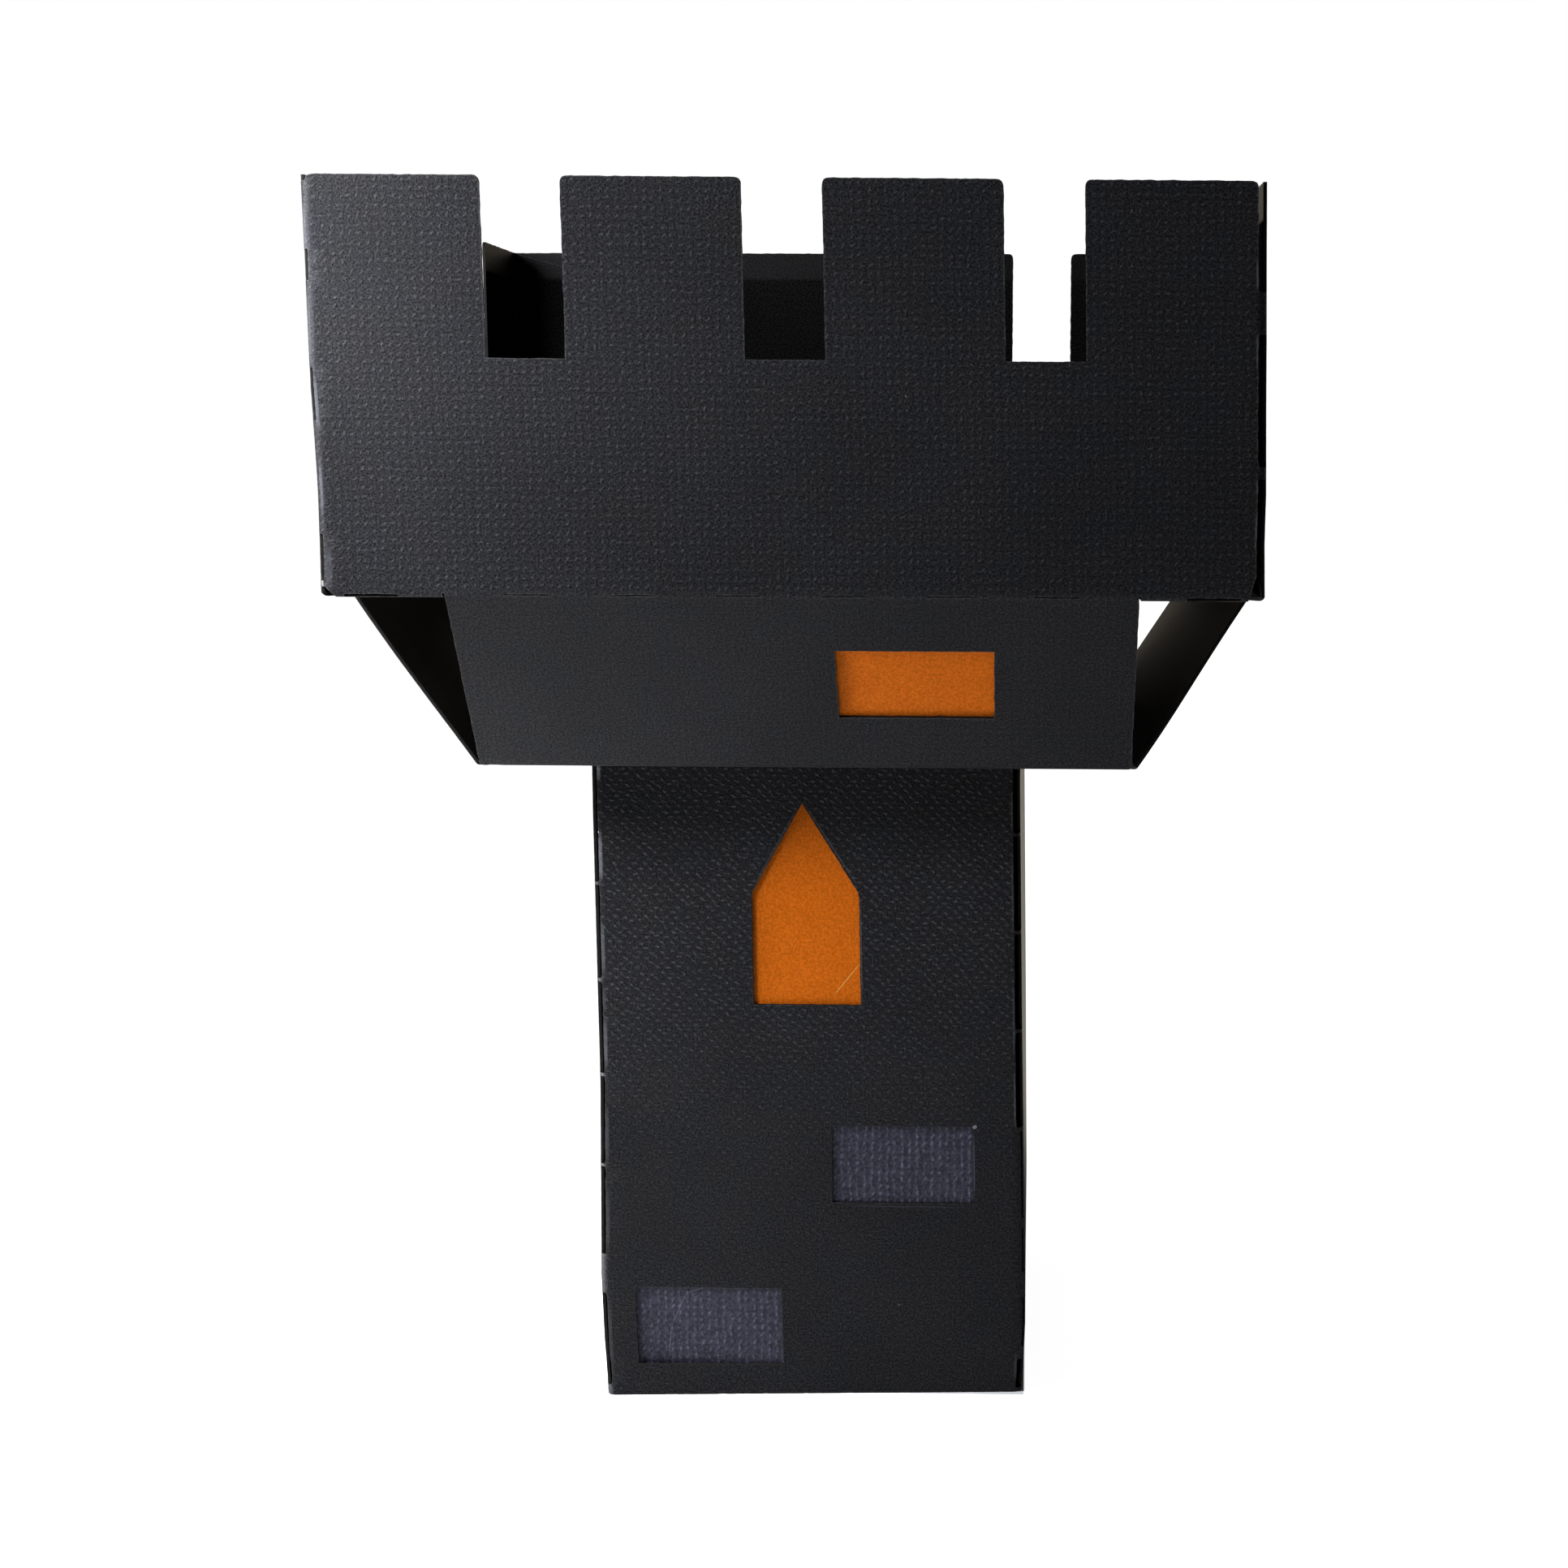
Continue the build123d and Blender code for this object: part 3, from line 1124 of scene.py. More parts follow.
@dataclass(frozen=True)
class PlainFinish:
    """Plain finish with a fine grain on object coordinates.

    Attributes:
        name: Name of the material.
        colour: Darker colour of the grain.
        other: Lighter colour of the grain.
        roughness: Roughness of the surface.
        grain: Height of the grain, in millimetres.
        scale: Number of grains in a metre.
        specular: Strength of its reflections.
        emboss: Pattern, with x and z as its coordinates, or nothing.
        core: Colour towards the inner face, on the cut edge of a sheet, or nothing.
        marks: Marks, with x and z as their coordinates.
    """

    name: str
    colour: Colour
    other: Colour
    roughness: float
    grain: float
    scale: float = 3000.0
    specular: float = 0.3
    emboss: Emboss | None = None
    core: Colour | None = None
    marks: tuple[Mark, ...] = ()

    def build(self) -> Material:
        """Builds the node material.

        Returns:
            The material.
        """
        material, graph = new_material(self.name)
        place = graph.add("ShaderNodeTexCoord").outputs["Object"]
        grain = graph.noise(place, Grain(self.scale, 3.0))
        height = graph.times(grain, self.grain)
        axes = graph.axes(place)
        front = graph.add("ShaderNodeCombineXYZ", X=axes[0], Y=axes[2]).outputs[0]
        front = graph.vector("MULTIPLY", front, (1 / MM,) * 3)
        colour = graph.mix(graph.ramp(grain, PLAIN_SHARE), self.colour, self.other)
        if self.emboss:
            # light is the painted highlight of the dashes, multiplied into the colour.
            height, light = self.emboss.press(graph, height, self.emboss.build(graph, front))
            colour = graph.scaled(colour, light)
        bump = graph.add("ShaderNodeBump", Distance=MM, Height=height)
        if self.core:
            colour = graph.mix(graph.ramp(graph.attribute(INSIDE), CORE_DEPTH), colour, self.core)
        colour = marked(graph, front, self.marks, colour)
        shader = graph.add(
            "ShaderNodeBsdfPrincipled",
            Base_Color=colour,
            Roughness=self.roughness,
            Specular_IOR_Level=self.specular,
            Normal=bump.outputs[0],
        )
        graph.add("ShaderNodeOutputMaterial", Surface=shader.outputs[0])
        return material


@dataclass(frozen=True)
class Finishes:
    """All materials of the castle."""

    parapet: Material
    tower: Material
    cut: Material
    inner: Material
    orange: Material
    slate: Material


def lip_highlights(tube: Tube, bend: Bend, share: float, reach: float, rows: Sequence[Triple]) -> tuple[Mark, ...]:
    """Painted highlights on the curled lip beside an upright fold, where it catches the light.

    Args:
        tube: Fold map of the sheet.
        bend: The bend.
        share: Place of the marks across the bend.
        reach: How far they reach across.
        rows: Lower end, upper end and strength of each mark.

    Returns:
        The marks.
    """
    place, _ = tube.bend_part(bend, (share, share))
    return tuple(
        Mark((place, (low + high) / 2 - tube.level), (reach, (high - low) / LIP_SPREAD), 0.0, LIP_HIGHLIGHT, strength)
        for low, high, strength in rows
    )


def parapet_marks() -> tuple[Mark, ...]:
    """Marks on the parapet's sheet, most of them painted highlights on the curled edges beside its front folds.

    Returns:
        The marks, the lowest layer first.
    """
    tube = ParapetTube()
    left, right = Bend.FRONT_LEFT, Bend.FRONT_RIGHT
    # Painted highlights beside the front folds; on the right fold they stand for the backdrop's light reflected at a
    # grazing angle.
    right_lip_highlights = [(101.4, 103.8, 0.42), (95.2, 97.9, 0.42), (84.9, 86.2, 0.35), (80.3, 83.6, 0.4), (76.6, 78.3, 0.35)]
    tear, _ = tube.bend_part(left, (0.5, 0.5))
    return (
        *lip_highlights(tube, left, 0.5, 0.25, [(103.8, 107.6, 0.28), (94.6, 100.9, 0.22)]),
        *lip_highlights(tube, left, 0.7, 0.2, [(83.1, 87.1, 0.34)]),
        *lip_highlights(tube, left, 0.82, 0.2, [(89.7, 94.0, 0.4)]),
        *lip_highlights(tube, left, 1.0, 0.35, [(76.8, 80.4, 0.18)]),
        Mark((tear, 0.9), (0.2, 0.4), 0.0, (0.3, 0.28, 0.27), 0.6),
        *lip_highlights(tube, right, 0.0, 0.13, right_lip_highlights),
        Mark((tube.middles[Wall.FRONT] + 9.69, 92.7 - tube.level), (0.1, 0.1), 0.0, PALE_SPOT, 0.6),
    )


def tower_marks() -> tuple[Mark, ...]:
    """Marks on the tower's sheet: painted highlights beside its front folds, a painted glint, and marks on its front.

    Returns:
        The marks, the lowest layer first.
    """
    tube = TowerTube()
    # Painted highlights on the curled edges beside the left and right front folds.
    left = [(58.5, 60.0, 1.0), (49.2, 53.7, 0.95), (40.3, 45.2, 0.45), (36.9, 38.9, 0.18), (31.4, 36.1, 0.45)]
    left += [(22.5, 27.5, 0.2), (14.0, 19.5, 0.2), (2.0, 9.0, 0.12)]
    right = [(54.0, 57.5, 0.35), (44.5, 52.0, 0.25), (33.0, 40.0, 0.25), (26.0, 31.5, 0.35), (1.5, 4.0, 0.3)]
    front = (
        Mark((8.08, 8.75), (0.1, 0.1), 0.0, PALE_SPOT, 0.6),
        Mark((15.35, 26.1), (0.26, 0.2), 30.0, (0.3, 0.29, 0.32), 0.65),
        Mark((15.25, 22.3), (0.08, 3.5), 0.0, (0.1, 0.1, 0.14), 0.5),
        Mark((2.1, 25.75), (0.1, 0.45), 0.0, (0.25, 0.24, 0.26), 0.6),
        Mark((8.9, 18.35), (6.4, 0.09), 0.0, (0.06, 0.06, 0.08), 0.3),
        Mark((4.98, 42.6), (0.09, 5.6), 0.0, ARCH_EDGE, 0.5),
        Mark((2.4, 52.5), (0.09, 4.9), 32.5, ARCH_EDGE, 0.5),
        Mark((-2.75, 52.5), (0.09, 4.8), -29.5, ARCH_EDGE, 0.4),
    )
    # Painted glint on the left front fold.
    glint_u, _ = tube.bend_part(Bend.FRONT_LEFT, (0.8, 0.8))
    return (
        *lip_highlights(tube, Bend.FRONT_LEFT, 0.96, 0.22, left),
        *lip_highlights(tube, Bend.FRONT_RIGHT, 0.02, 0.12, right),
        *(replace(mark, place=(tube.middles[Wall.FRONT] + mark.place[0], mark.place[1])) for mark in front),
        Mark((glint_u, 53.66), (0.12, 0.12), 0.0, (0.7, 0.7, 0.7), 1.0),
    )


def build_finishes() -> Finishes:
    """Builds every material of the castle.

    Returns:
        The materials.
    """
    rows = Emboss(
        0.72, turn=0, lean=40, scatter=0.3, depth=0.018, painted_highlight=0.9, size=(1.75, 4.0), fade=Ramp(-0.6, 0.6, 0.45)
    )
    slanted = Emboss(
        0.69, turn=45, lean=-18, scatter=0.4, depth=0.026, painted_highlight=1.9, size=(1.6, 3.4), fade=Ramp(18.0, 46.0, 0.35)
    )
    columns = Emboss(0.7, turn=0, lean=75, scatter=0.22, depth=0.02, painted_highlight=1.5, size=(1.4, 3.4))
    parapet = CardFinish(
        "parapet card",
        colour=(0.0148, 0.0146, 0.0155),
        worn=(0.16, 0.155, 0.15),
        inside=(0.0085, 0.008, 0.0078),
        roughness=0.5,
        emboss=rows,
        grain=0.035,
        marks=parapet_marks(),
    )
    return Finishes(
        parapet=parapet.build(),
        tower=replace(parapet, name="tower card", emboss=slanted, burr=0.08, marks=tower_marks()).build(),
        cut=PlainFinish(
            "cut edge",
            (0.022, 0.019, 0.017),
            (0.055, 0.047, 0.043),
            0.7,
            0.02,
            specular=0.1,
            core=(0.007, 0.0062, 0.006),
        ).build(),
        # The parapet floor's card is darker than the black card: painted shade inside the parapet.
        inner=PlainFinish(
            "inner card", (0.006, 0.0055, 0.005), (0.011, 0.0098, 0.009), 0.7, 0.01, specular=0.1
        ).build(),
        orange=PlainFinish(
            "orange card",
            (0.41, 0.086, 0.001),
            (0.61, 0.13, 0.005),
            0.7,
            0.02,
            specular=0.08,
            scale=4500.0,
            marks=(
                Mark((1.9, 52.7), (0.45, 3.2), 32.0, (0.68, 0.33, 0.2), 0.6),
                Mark((3.2, 40.0), (0.05, 2.3), -39.0, (0.85, 0.6, 0.16), 0.55),
                Mark((3.38, 69.03), (0.12, 0.75), 0.0, (0.7, 0.3, 0.25), 0.8),
            ),
        ).build(),
        slate=PlainFinish(
            "slate card",
            (0.009, 0.0086, 0.0175),
            (0.041, 0.039, 0.06),
            0.6,
            0.02,
            scale=4000.0,
            emboss=columns,
            marks=(
                Mark((-11.3, 9.85), (0.07, 1.0), -71.0, SLATE_HAIR, 0.6),
                Mark((-12.85, 7.95), (0.07, 1.85), -24.0, SLATE_HAIR, 0.6),
                Mark((-13.7, 4.9), (0.07, 1.5), -5.5, SLATE_HAIR, 0.6),
            ),
        ).build(),
    )


class GeometryTree(NodeGraph):
    """Geometry Nodes tree with named inputs, run once on an object."""

    def __init__(self, name: str, inputs: dict[str, tuple[str, object]]) -> None:
        """Opens the tree.

        Args:
            name: Name of the tree.
            inputs: Socket type and value of each named input.
        """
        super().__init__(bpy.data.node_groups.new(name, "GeometryNodeTree"))
        self.tree.interface.new_socket("Geometry", in_out="INPUT", socket_type="NodeSocketGeometry")
        self.sockets = {}
        for label, (kind, value) in inputs.items():
            socket = self.tree.interface.new_socket(label, in_out="INPUT", socket_type=kind)
            self.sockets[label] = (socket.identifier, value)
        self.tree.interface.new_socket("Geometry", in_out="OUTPUT", socket_type="NodeSocketGeometry")
        self.given = self.add("NodeGroupInput").outputs

    def run(self, result: Socket, mesh: bpy.types.Mesh, finish: Material | None) -> bpy.types.Mesh:
        """Closes the tree and runs it.

        Args:
            result: Geometry that the tree gives.
            mesh: Mesh that the tree works on.
            finish: Material of all that the tree makes, or nothing.

        Returns:
            The result as a plain mesh.
        """
        real = self.add("GeometryNodeRealizeInstances", Geometry=result).outputs[0]
        if finish:
            real = self.add("GeometryNodeSetMaterial", Geometry=real, Material=finish).outputs[0]
        self.add("NodeGroupOutput", Geometry=real)
        holder = placed(self.tree.name, mesh)
        modifier = holder.modifiers.new("nodes", "NODES")
        modifier.node_group = self.tree
        for identifier, value in self.sockets.values():
            modifier[identifier] = value
        bpy.context.view_layer.update()
        evaluated = holder.evaluated_get(bpy.context.evaluated_depsgraph_get())
        plain = bpy.data.meshes.new_from_object(evaluated)
        plain.name = self.tree.name
        holder.modifiers.clear()
        bpy.data.objects.remove(holder)
        return plain


@dataclass(frozen=True)
class Slit:
    """One slit of a perforation: its middle and its size on the flat sheet."""

    u: float
    v: float
    width: float
    height: float


def slit_loops(slits: Sequence[Slit]) -> list[list[Pair]]:
    """Outlines of the slits of a perforation, with rounded ends.

    Args:
        slits: Middle and size of each slit.

    Returns:
        One closed outline for each slit.
    """
    places = bpy.data.meshes.new("slit places")
    places.from_pydata([(slit.u, slit.v, 0) for slit in slits], [], [])
    size = places.attributes.new("size", "FLOAT_VECTOR", "POINT")
    size.data.foreach_set("vector", np.array([(slit.width, slit.height, 1) for slit in slits], np.float32).ravel())
    tree = GeometryTree("slits", {"Rounding": ("NodeSocketFloat", 0.08)})
    square = tree.add("GeometryNodeCurvePrimitiveQuadrilateral", {"mode": "RECTANGLE"}, Width=1.0, Height=1.0)
    slot = tree.add(
        "GeometryNodeFilletCurve", {"mode": "POLY"}, Curve=square.outputs[0], Count=2, Radius=tree.given["Rounding"]
    )
    outline = tree.add("GeometryNodeCurveToMesh", Curve=slot.outputs[0])
    scale = tree.add("GeometryNodeInputNamedAttribute", {"data_type": "FLOAT_VECTOR"}, Name="size")
    copies = tree.add(
        "GeometryNodeInstanceOnPoints",
        Points=tree.given["Geometry"],
        Instance=outline.outputs[0],
        Scale=scale.outputs[0],
    )
    return chains(tree.run(copies.outputs[0], places, None))


def chains(mesh: bpy.types.Mesh) -> list[list[Pair]]:
    """Follows the edges of a mesh of closed outlines.

    Args:
        mesh: Mesh of edges in the XY plane.

    Returns:
        The outlines as lists of points.
    """
    beside: dict[int, list[int]] = {}
    for edge in mesh.edges:
        a, b = edge.vertices
        beside.setdefault(a, []).append(b)
        beside.setdefault(b, []).append(a)
    loops: list[list[Pair]] = []
    seen: set[int] = set()
    for first in sorted(beside):
        if first in seen:
            continue
        loop, here = [], first
        while here not in seen:
            seen.add(here)
            loop.append(tuple(mesh.vertices[here].co.xy))
            here = next((other for other in beside[here] if other not in seen), here)
        loops.append(loop)
    return loops


@dataclass(frozen=True)
class SlitRow:
    """Slits along one upright bend: the part of its width that they open, and their heights above the ground."""

    bend: Bend
    share: Pair
    rows: tuple[Pair, ...]

    def slits(self, tube: Tube) -> list[Slit]:
        """The slits on the flat sheet.

        Args:
            tube: Fold map of the sheet.

        Returns:
            The slits, in their order in the row.
        """
        left, right = tube.bend_part(self.bend, self.share)
        middle, width = (left + right) / 2, right - left
        return [Slit(middle, (low + high) / 2 - tube.level, width, high - low) for low, high in self.rows]


TOWER_SLITS = (
    SlitRow(
        Bend.FRONT_LEFT,
        (0.0, 0.82),
        ((0.9, 9.6), (13.4, 21.9), (22.2, 30.6), (30.9, 39.6), (39.9, 48.7), (49.0, 60.6)),
    ),
    SlitRow(Bend.FRONT_RIGHT, (0.1, 1.0), ((26.1, 35.1), (35.4, 44.4), (44.7, 53.5), (53.8, 60.6))),
    SlitRow(Bend.FRONT_RIGHT, (0.45, 0.75), ((4.6, 9.5), (12.0, 16.4), (17.3, 25.7))),
    SlitRow(Bend.FRONT_RIGHT, (0.15, 1.0), ((0.4, 3.4),)),
)
PARAPET_SLITS = (
    SlitRow(Bend.FRONT_LEFT, PARAPET.left_share, ((101.6, 104.1), (90.5, 94.7), (77.6, 81.4))),
    SlitRow(Bend.FRONT_RIGHT, PARAPET.right_share, ((87.2, 97.8),)),
    SlitRow(Bend.BACK_RIGHT, BACK_SHARE, ((78.4, 82.2), (90.1, 93.9), (101.8, 105.6))),
)


@dataclass
class Castle:
    """Builds the sheets of the castle."""

    finishes: Finishes

    def tower(self) -> Thing:
        """Folds the tower's sheet.

        Returns:
            The folded sheet.
        """
        tube, size = TowerTube(), TOWER
        end, front = tube.plan.length, tube.middles[Wall.FRONT]
        half, top = size.width / 2 - CARD.bend_radius, size.height
        outline = [(0.0, size.tab_taper), (size.tab_width, 0.0), (end, 0.0), (end, top)]
        for wall in reversed(Wall):
            middle, deep, play = tube.middles[wall], size.top_tab, size.tab_play
            outline += [(middle + half - play, top), (middle + half - deep, top + deep)]
            outline += [(middle - half + deep, top + deep), (middle - half + play, top)]
        outline += [(size.tab_width, top), (0.0, top - size.tab_taper)]
        holes = [self.arch(front)]
        holes += [[(front + u, v) for u, v in brick.loop()] for brick in (size.upper, size.lower)]
        count = int(size.height / size.slit_pitch)
        first = (size.height - size.slit_pitch * (count - 1) - size.slit_length) / 2
        steps = [first + size.slit_pitch * step for step in range(count)]
        back = SlitRow(Bend.BACK_RIGHT, BACK_SHARE, tuple((low, low + size.slit_length) for low in steps))
        holes += slit_loops([slit for row in (*TOWER_SLITS, back) for slit in row.slits(tube)])
        return folded_mesh("tower_sheet", FlatSheet(outline, holes, tube), [self.finishes.tower, self.finishes.cut])

    def arch(self, middle: float) -> list[Pair]:
        """Outline of the arched window round a place on the sheet.

        Args:
            middle: Flat u of that place.

        Returns:
            The outline, lower left corner first.
        """
        middle -= TOWER.arch_offset
        half, soft, shoulder = TOWER.arch_half, TOWER.arch_soft, TOWER.arch_shoulder
        across, up = TOWER.arch_round
        side = [(half, TOWER.arch_sill), (half, shoulder - soft), (half - soft * across, shoulder + soft * up)]
        left, right = ([(middle + turn * u, v) for u, v in side] for turn in (-1, 1))
        return [left[0], *right, (middle - TOWER.arch_offset, TOWER.arch_apex), left[2], left[1]]

    def crenel_line(self, middle: float) -> list[Pair]:
        """Upper edge of one wall of the parapet, from right to left.

        Args:
            middle: Flat u of the wall's middle.

        Returns:
            The points of the edge.
        """
        size = PARAPET
        line: list[Pair] = []
        for step in (1, 0, -1):
            centre = middle + size.crenel_pitch * step
            low = size.height - size.crenel_depth
            for side in (1, -1):
                mouth = [
                    (
                        centre + side * (size.crenel / 2 + size.merlon_radius * (1 - math.sin(angle))),
                        size.height - size.merlon_radius * (1 - math.cos(angle)),
                    )
                    for angle in np.linspace(0, math.pi / 2, 5)
                ]
                corner = (centre + side * size.crenel / 2, low)
                line += mouth + [corner] if side == 1 else [corner] + mouth[::-1]
        return line

    def foot_line(self, middle: float) -> list[Pair]:
        """Lower edge of one wall of the parapet, from left to right.

        Args:
            middle: Flat u of the wall's middle.

        Returns:
            The points of the edge.
        """
        size = PARAPET
        slope = math.hypot(size.corbel_in, size.corbel_drop)
        half, flap = size.corbel_half, size.corbel_flap
        left = [
            (-size.corner_outer, 0.0),
            (-size.corner_outer + size.corner_depth, -size.corner_depth),
            (-size.corner_inner, -size.corner_depth),
            (-size.corner_inner, size.corbel_lift),
            (-half, size.corbel_lift),
            (-half, -slope + size.flap_play),
            (-half + flap + size.flap_play, -slope - flap),
        ]
        return [(middle + u, v) for u, v in left] + [(middle - u, v) for u, v in reversed(left)]

    def parapet(self) -> Thing:
        """Folds the parapet's sheet.

        Returns:
            The folded sheet.
        """
        tube, size = ParapetTube(), PARAPET
        end, top = tube.plan.length, size.height
        outline = [(0.0, size.tab_taper), (size.tab_width, 0.0)]
        for wall in Wall:
            line = self.foot_line(tube.middles[wall])
            outline += self.torn_foot(tube, line) if wall is Wall.FRONT else line
        outline += [(end, 0.0), (end, top)]
        for wall in reversed(Wall):
            line = self.crenel_line(tube.middles[wall])
            outline += self.open_top(tube, line) if wall is Wall.FRONT else line
        outline += [(size.tab_width, top), (0.0, top - size.tab_taper)]
        front = tube.middles[Wall.FRONT]
        holes = [[(front + u, v) for u, v in size.window.loop()]]
        holes += slit_loops([*(slit for row in PARAPET_SLITS for slit in row.slits(tube)), *self.level_slits(tube)])
        return folded_mesh("parapet_sheet", FlatSheet(outline, holes, tube), [self.finishes.parapet, self.finishes.cut])

    def torn_foot(self, tube: ParapetTube, line: list[Pair]) -> list[Pair]:
        """Lower edge of the front wall with the folds beside it, which have come open at the foot.

        Args:
            tube: Fold map of the parapet.
            line: Lower edge of the front wall, from left to right.

        Returns:
            The same edge with an open bend at each end and torn corners.
        """
        left, right = self.open_bends(tube)
        (first, _), (last, _), high = line[0], line[-1], PARAPET.tear_top
        start = [(left[0], 0.0), (left[0], 0.55), (left[1], 0.6), (first + 0.45, -0.45)]
        finish = [(last - 0.6, -0.6), (right[0] - 0.12, 1.5), (right[0], 1.8)]
        finish += [(right[0], high), (right[1], high), (right[1], 0.0)]
        return start + line[1:-1] + finish

    def open_top(self, tube: ParapetTube, line: list[Pair]) -> list[Pair]:
        """Upper edge of the front wall with the folds beside it, which are open at the top.

        Args:
            tube: Fold map of the parapet.
            line: Upper edge of the front wall, from right to left.

        Returns:
            The same edge with an open bend at each end and rounded corners.
        """
        top, low = PARAPET.height, PARAPET.open_low
        left, right = self.open_bends(tube)
        start = [(right[1], top), (right[1], low), (right[0], low), (right[0], top - 0.4)]
        start += [(right[0] - 0.12, top - 0.12), (right[0] - 0.4, top)]
        finish = [(left[1] + 0.6, top), (left[1] + 0.2, top - 0.15), (left[1], top - 0.55)]
        finish += [(left[0], top - 0.5), (left[0], top)]
        return start + line + finish

    def open_bends(self, tube: ParapetTube) -> tuple[Pair, Pair]:
        """Finds the open parts of the bends beside the front wall, left and right, as ranges of flat u.

        Args:
            tube: Fold map of the parapet.

        Returns:
            The two ranges.
        """
        shares = {Bend.FRONT_LEFT: PARAPET.left_share, Bend.FRONT_RIGHT: PARAPET.right_share}
        left, right = (tube.bend_part(bend, share) for bend, share in shares.items())
        return left, right

    def level_slits(self, tube: ParapetTube) -> Iterable[Slit]:
        """Slits of the parapet's level folds.

        Args:
            tube: Fold map of the parapet.

        Returns:
            The slits, wall by wall.
        """
        size = PARAPET
        corbel, _, corner = tube.rows()
        for wall in Wall:
            middle = tube.middles[wall]
            for step in range(size.slit_count):
                place = middle + size.slit_pitch * (step - (size.slit_count - 1) / 2)
                level = corbel[0] * size.slit_split[0] + corbel[1] * size.slit_split[1]
                yield Slit(place, level, size.slit_length, (corbel[1] - corbel[0]) * size.slit_share)
            for side in (-1, 1) if wall in (Wall.FRONT, Wall.BACK) else ():
                place = middle + side * (size.corner_outer - size.corner_slit * size.corner_slit_shift)
                yield Slit(place, sum(corner) / 2, size.corner_slit, (corner[1] - corner[0]) * size.corner_slit_share)


def ribbed_card(name: str, node: str, pitch: float, depth: float, finish: Material) -> Thing:
    """Card behind an opening of the tower, with upright ribs on its front.

    Args:
        name: Name of the new object.
        node: CAD node whose box the card fills.
        pitch: Distance between ribs, in millimetres.
        depth: Depth of the grooves, in millimetres.
        finish: Its material.

    Returns:
        The card.
    """
    low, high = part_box(node)
    size, middle = high - low, (high + low) / 2
    inputs = {
        "Pitch": ("NodeSocketFloat", pitch * MM),
        "Depth": ("NodeSocketFloat", depth * MM),
        "Columns": ("NodeSocketInt", max(2, int(size.x / (pitch * MM / RIB_STEPS)))),
    }
    tree = GeometryTree(name, inputs)
    block = tree.add("GeometryNodeMeshCube", Size=tuple(size), Vertices_X=tree.given["Columns"])
    place = tree.axes(tree.add("GeometryNodeInputPosition").outputs[0])
    angle = tree.times(tree.math("DIVIDE", place[0], tree.given["Pitch"]), math.tau)
    groove = tree.times(tree.math("ADD", tree.math("SINE", angle), 1.0), 0.5)
    deep = tree.times(groove, tree.given["Depth"])
    inward = tree.times(deep, tree.math("LESS_THAN", place[1], 0.0))
    shift = tree.add("ShaderNodeCombineXYZ", Y=inward)
    ribs = tree.add("GeometryNodeSetPosition", Geometry=block.outputs[0], Offset=shift.outputs[0])
    moved = tree.add("GeometryNodeTransform", Geometry=ribs.outputs[0], Translation=tuple(middle))
    mesh = tree.run(moved.outputs[0], bpy.data.meshes.new(name), finish)
    return shaded(name, mesh, RIB_ANGLE)


@dataclass(frozen=True)
class Viewpoint:
    """Camera of the photo: place in millimetres, angles in degrees, and lens."""

    place: Triple = (19.556, -233.325, 89.433)
    yaw: float = -1.263
    pitch: float = -8.288
    roll: float = 0.211
    lens: float = 54.43
    shift: float = -0.1211

    def build(self) -> None:
        """Puts the camera in the scene."""
        yaw, pitch, roll = (math.radians(angle) for angle in (self.yaw, self.pitch, self.roll))
        ahead = Vector((math.sin(yaw) * math.cos(pitch), math.cos(yaw) * math.cos(pitch), math.sin(pitch)))
        level = Vector((math.cos(yaw), -math.sin(yaw), 0))
        above = level.cross(ahead)
        right = level * math.cos(roll) + above * math.sin(roll)
        up = above * math.cos(roll) - level * math.sin(roll)
        data = bpy.data.cameras.new("camera")
        data.lens, data.sensor_width, data.shift_x = self.lens, 36.0, self.shift
        data.clip_start, data.clip_end = 0.01, 20.0
        camera = placed("camera", data)
        rotation = Matrix((right, up, -ahead)).transposed().to_4x4()
        camera.matrix_world = Matrix.Translation(Vector(self.place) * MM) @ rotation
        bpy.context.scene.camera = camera


class Shape(Enum):
    """Shapes of a lamp, with their names in Blender."""

    BALL = "POINT"
    CONE = "SPOT"
    SQUARE = "AREA"


@dataclass(frozen=True)
class Lamp:
    """Soft lamp. A cone points at its aim. A square points down, and its side is twice the radius.

    Place, radius and aim are in millimetres, the power in watts and the cone in degrees.
    """

    name: str
    shape: Shape
    place: Triple
    radius: float
    power: float
    colour: Colour = WHITE
    aim: Triple | None = None
    cone: float = 110.0

    def build(self) -> None:
        """Hangs the light in its place, out of the camera's sight."""
        data = bpy.data.lights.new(self.name, self.shape.value)
        data.energy, data.color = self.power, self.colour
        if self.shape is Shape.SQUARE:
            data.size = self.radius * 2 * MM
        else:
            data.shadow_soft_size = self.radius * MM
        lamp = placed(self.name, data)
        lamp.location = Vector(self.place) * MM
        if self.aim:
            data.spot_size, data.spot_blend = math.radians(self.cone), 1.0
            lamp.rotation_euler = (Vector(self.aim) - Vector(self.place)).to_track_quat("-Z", "Y").to_euler()
        lamp.visible_camera = False


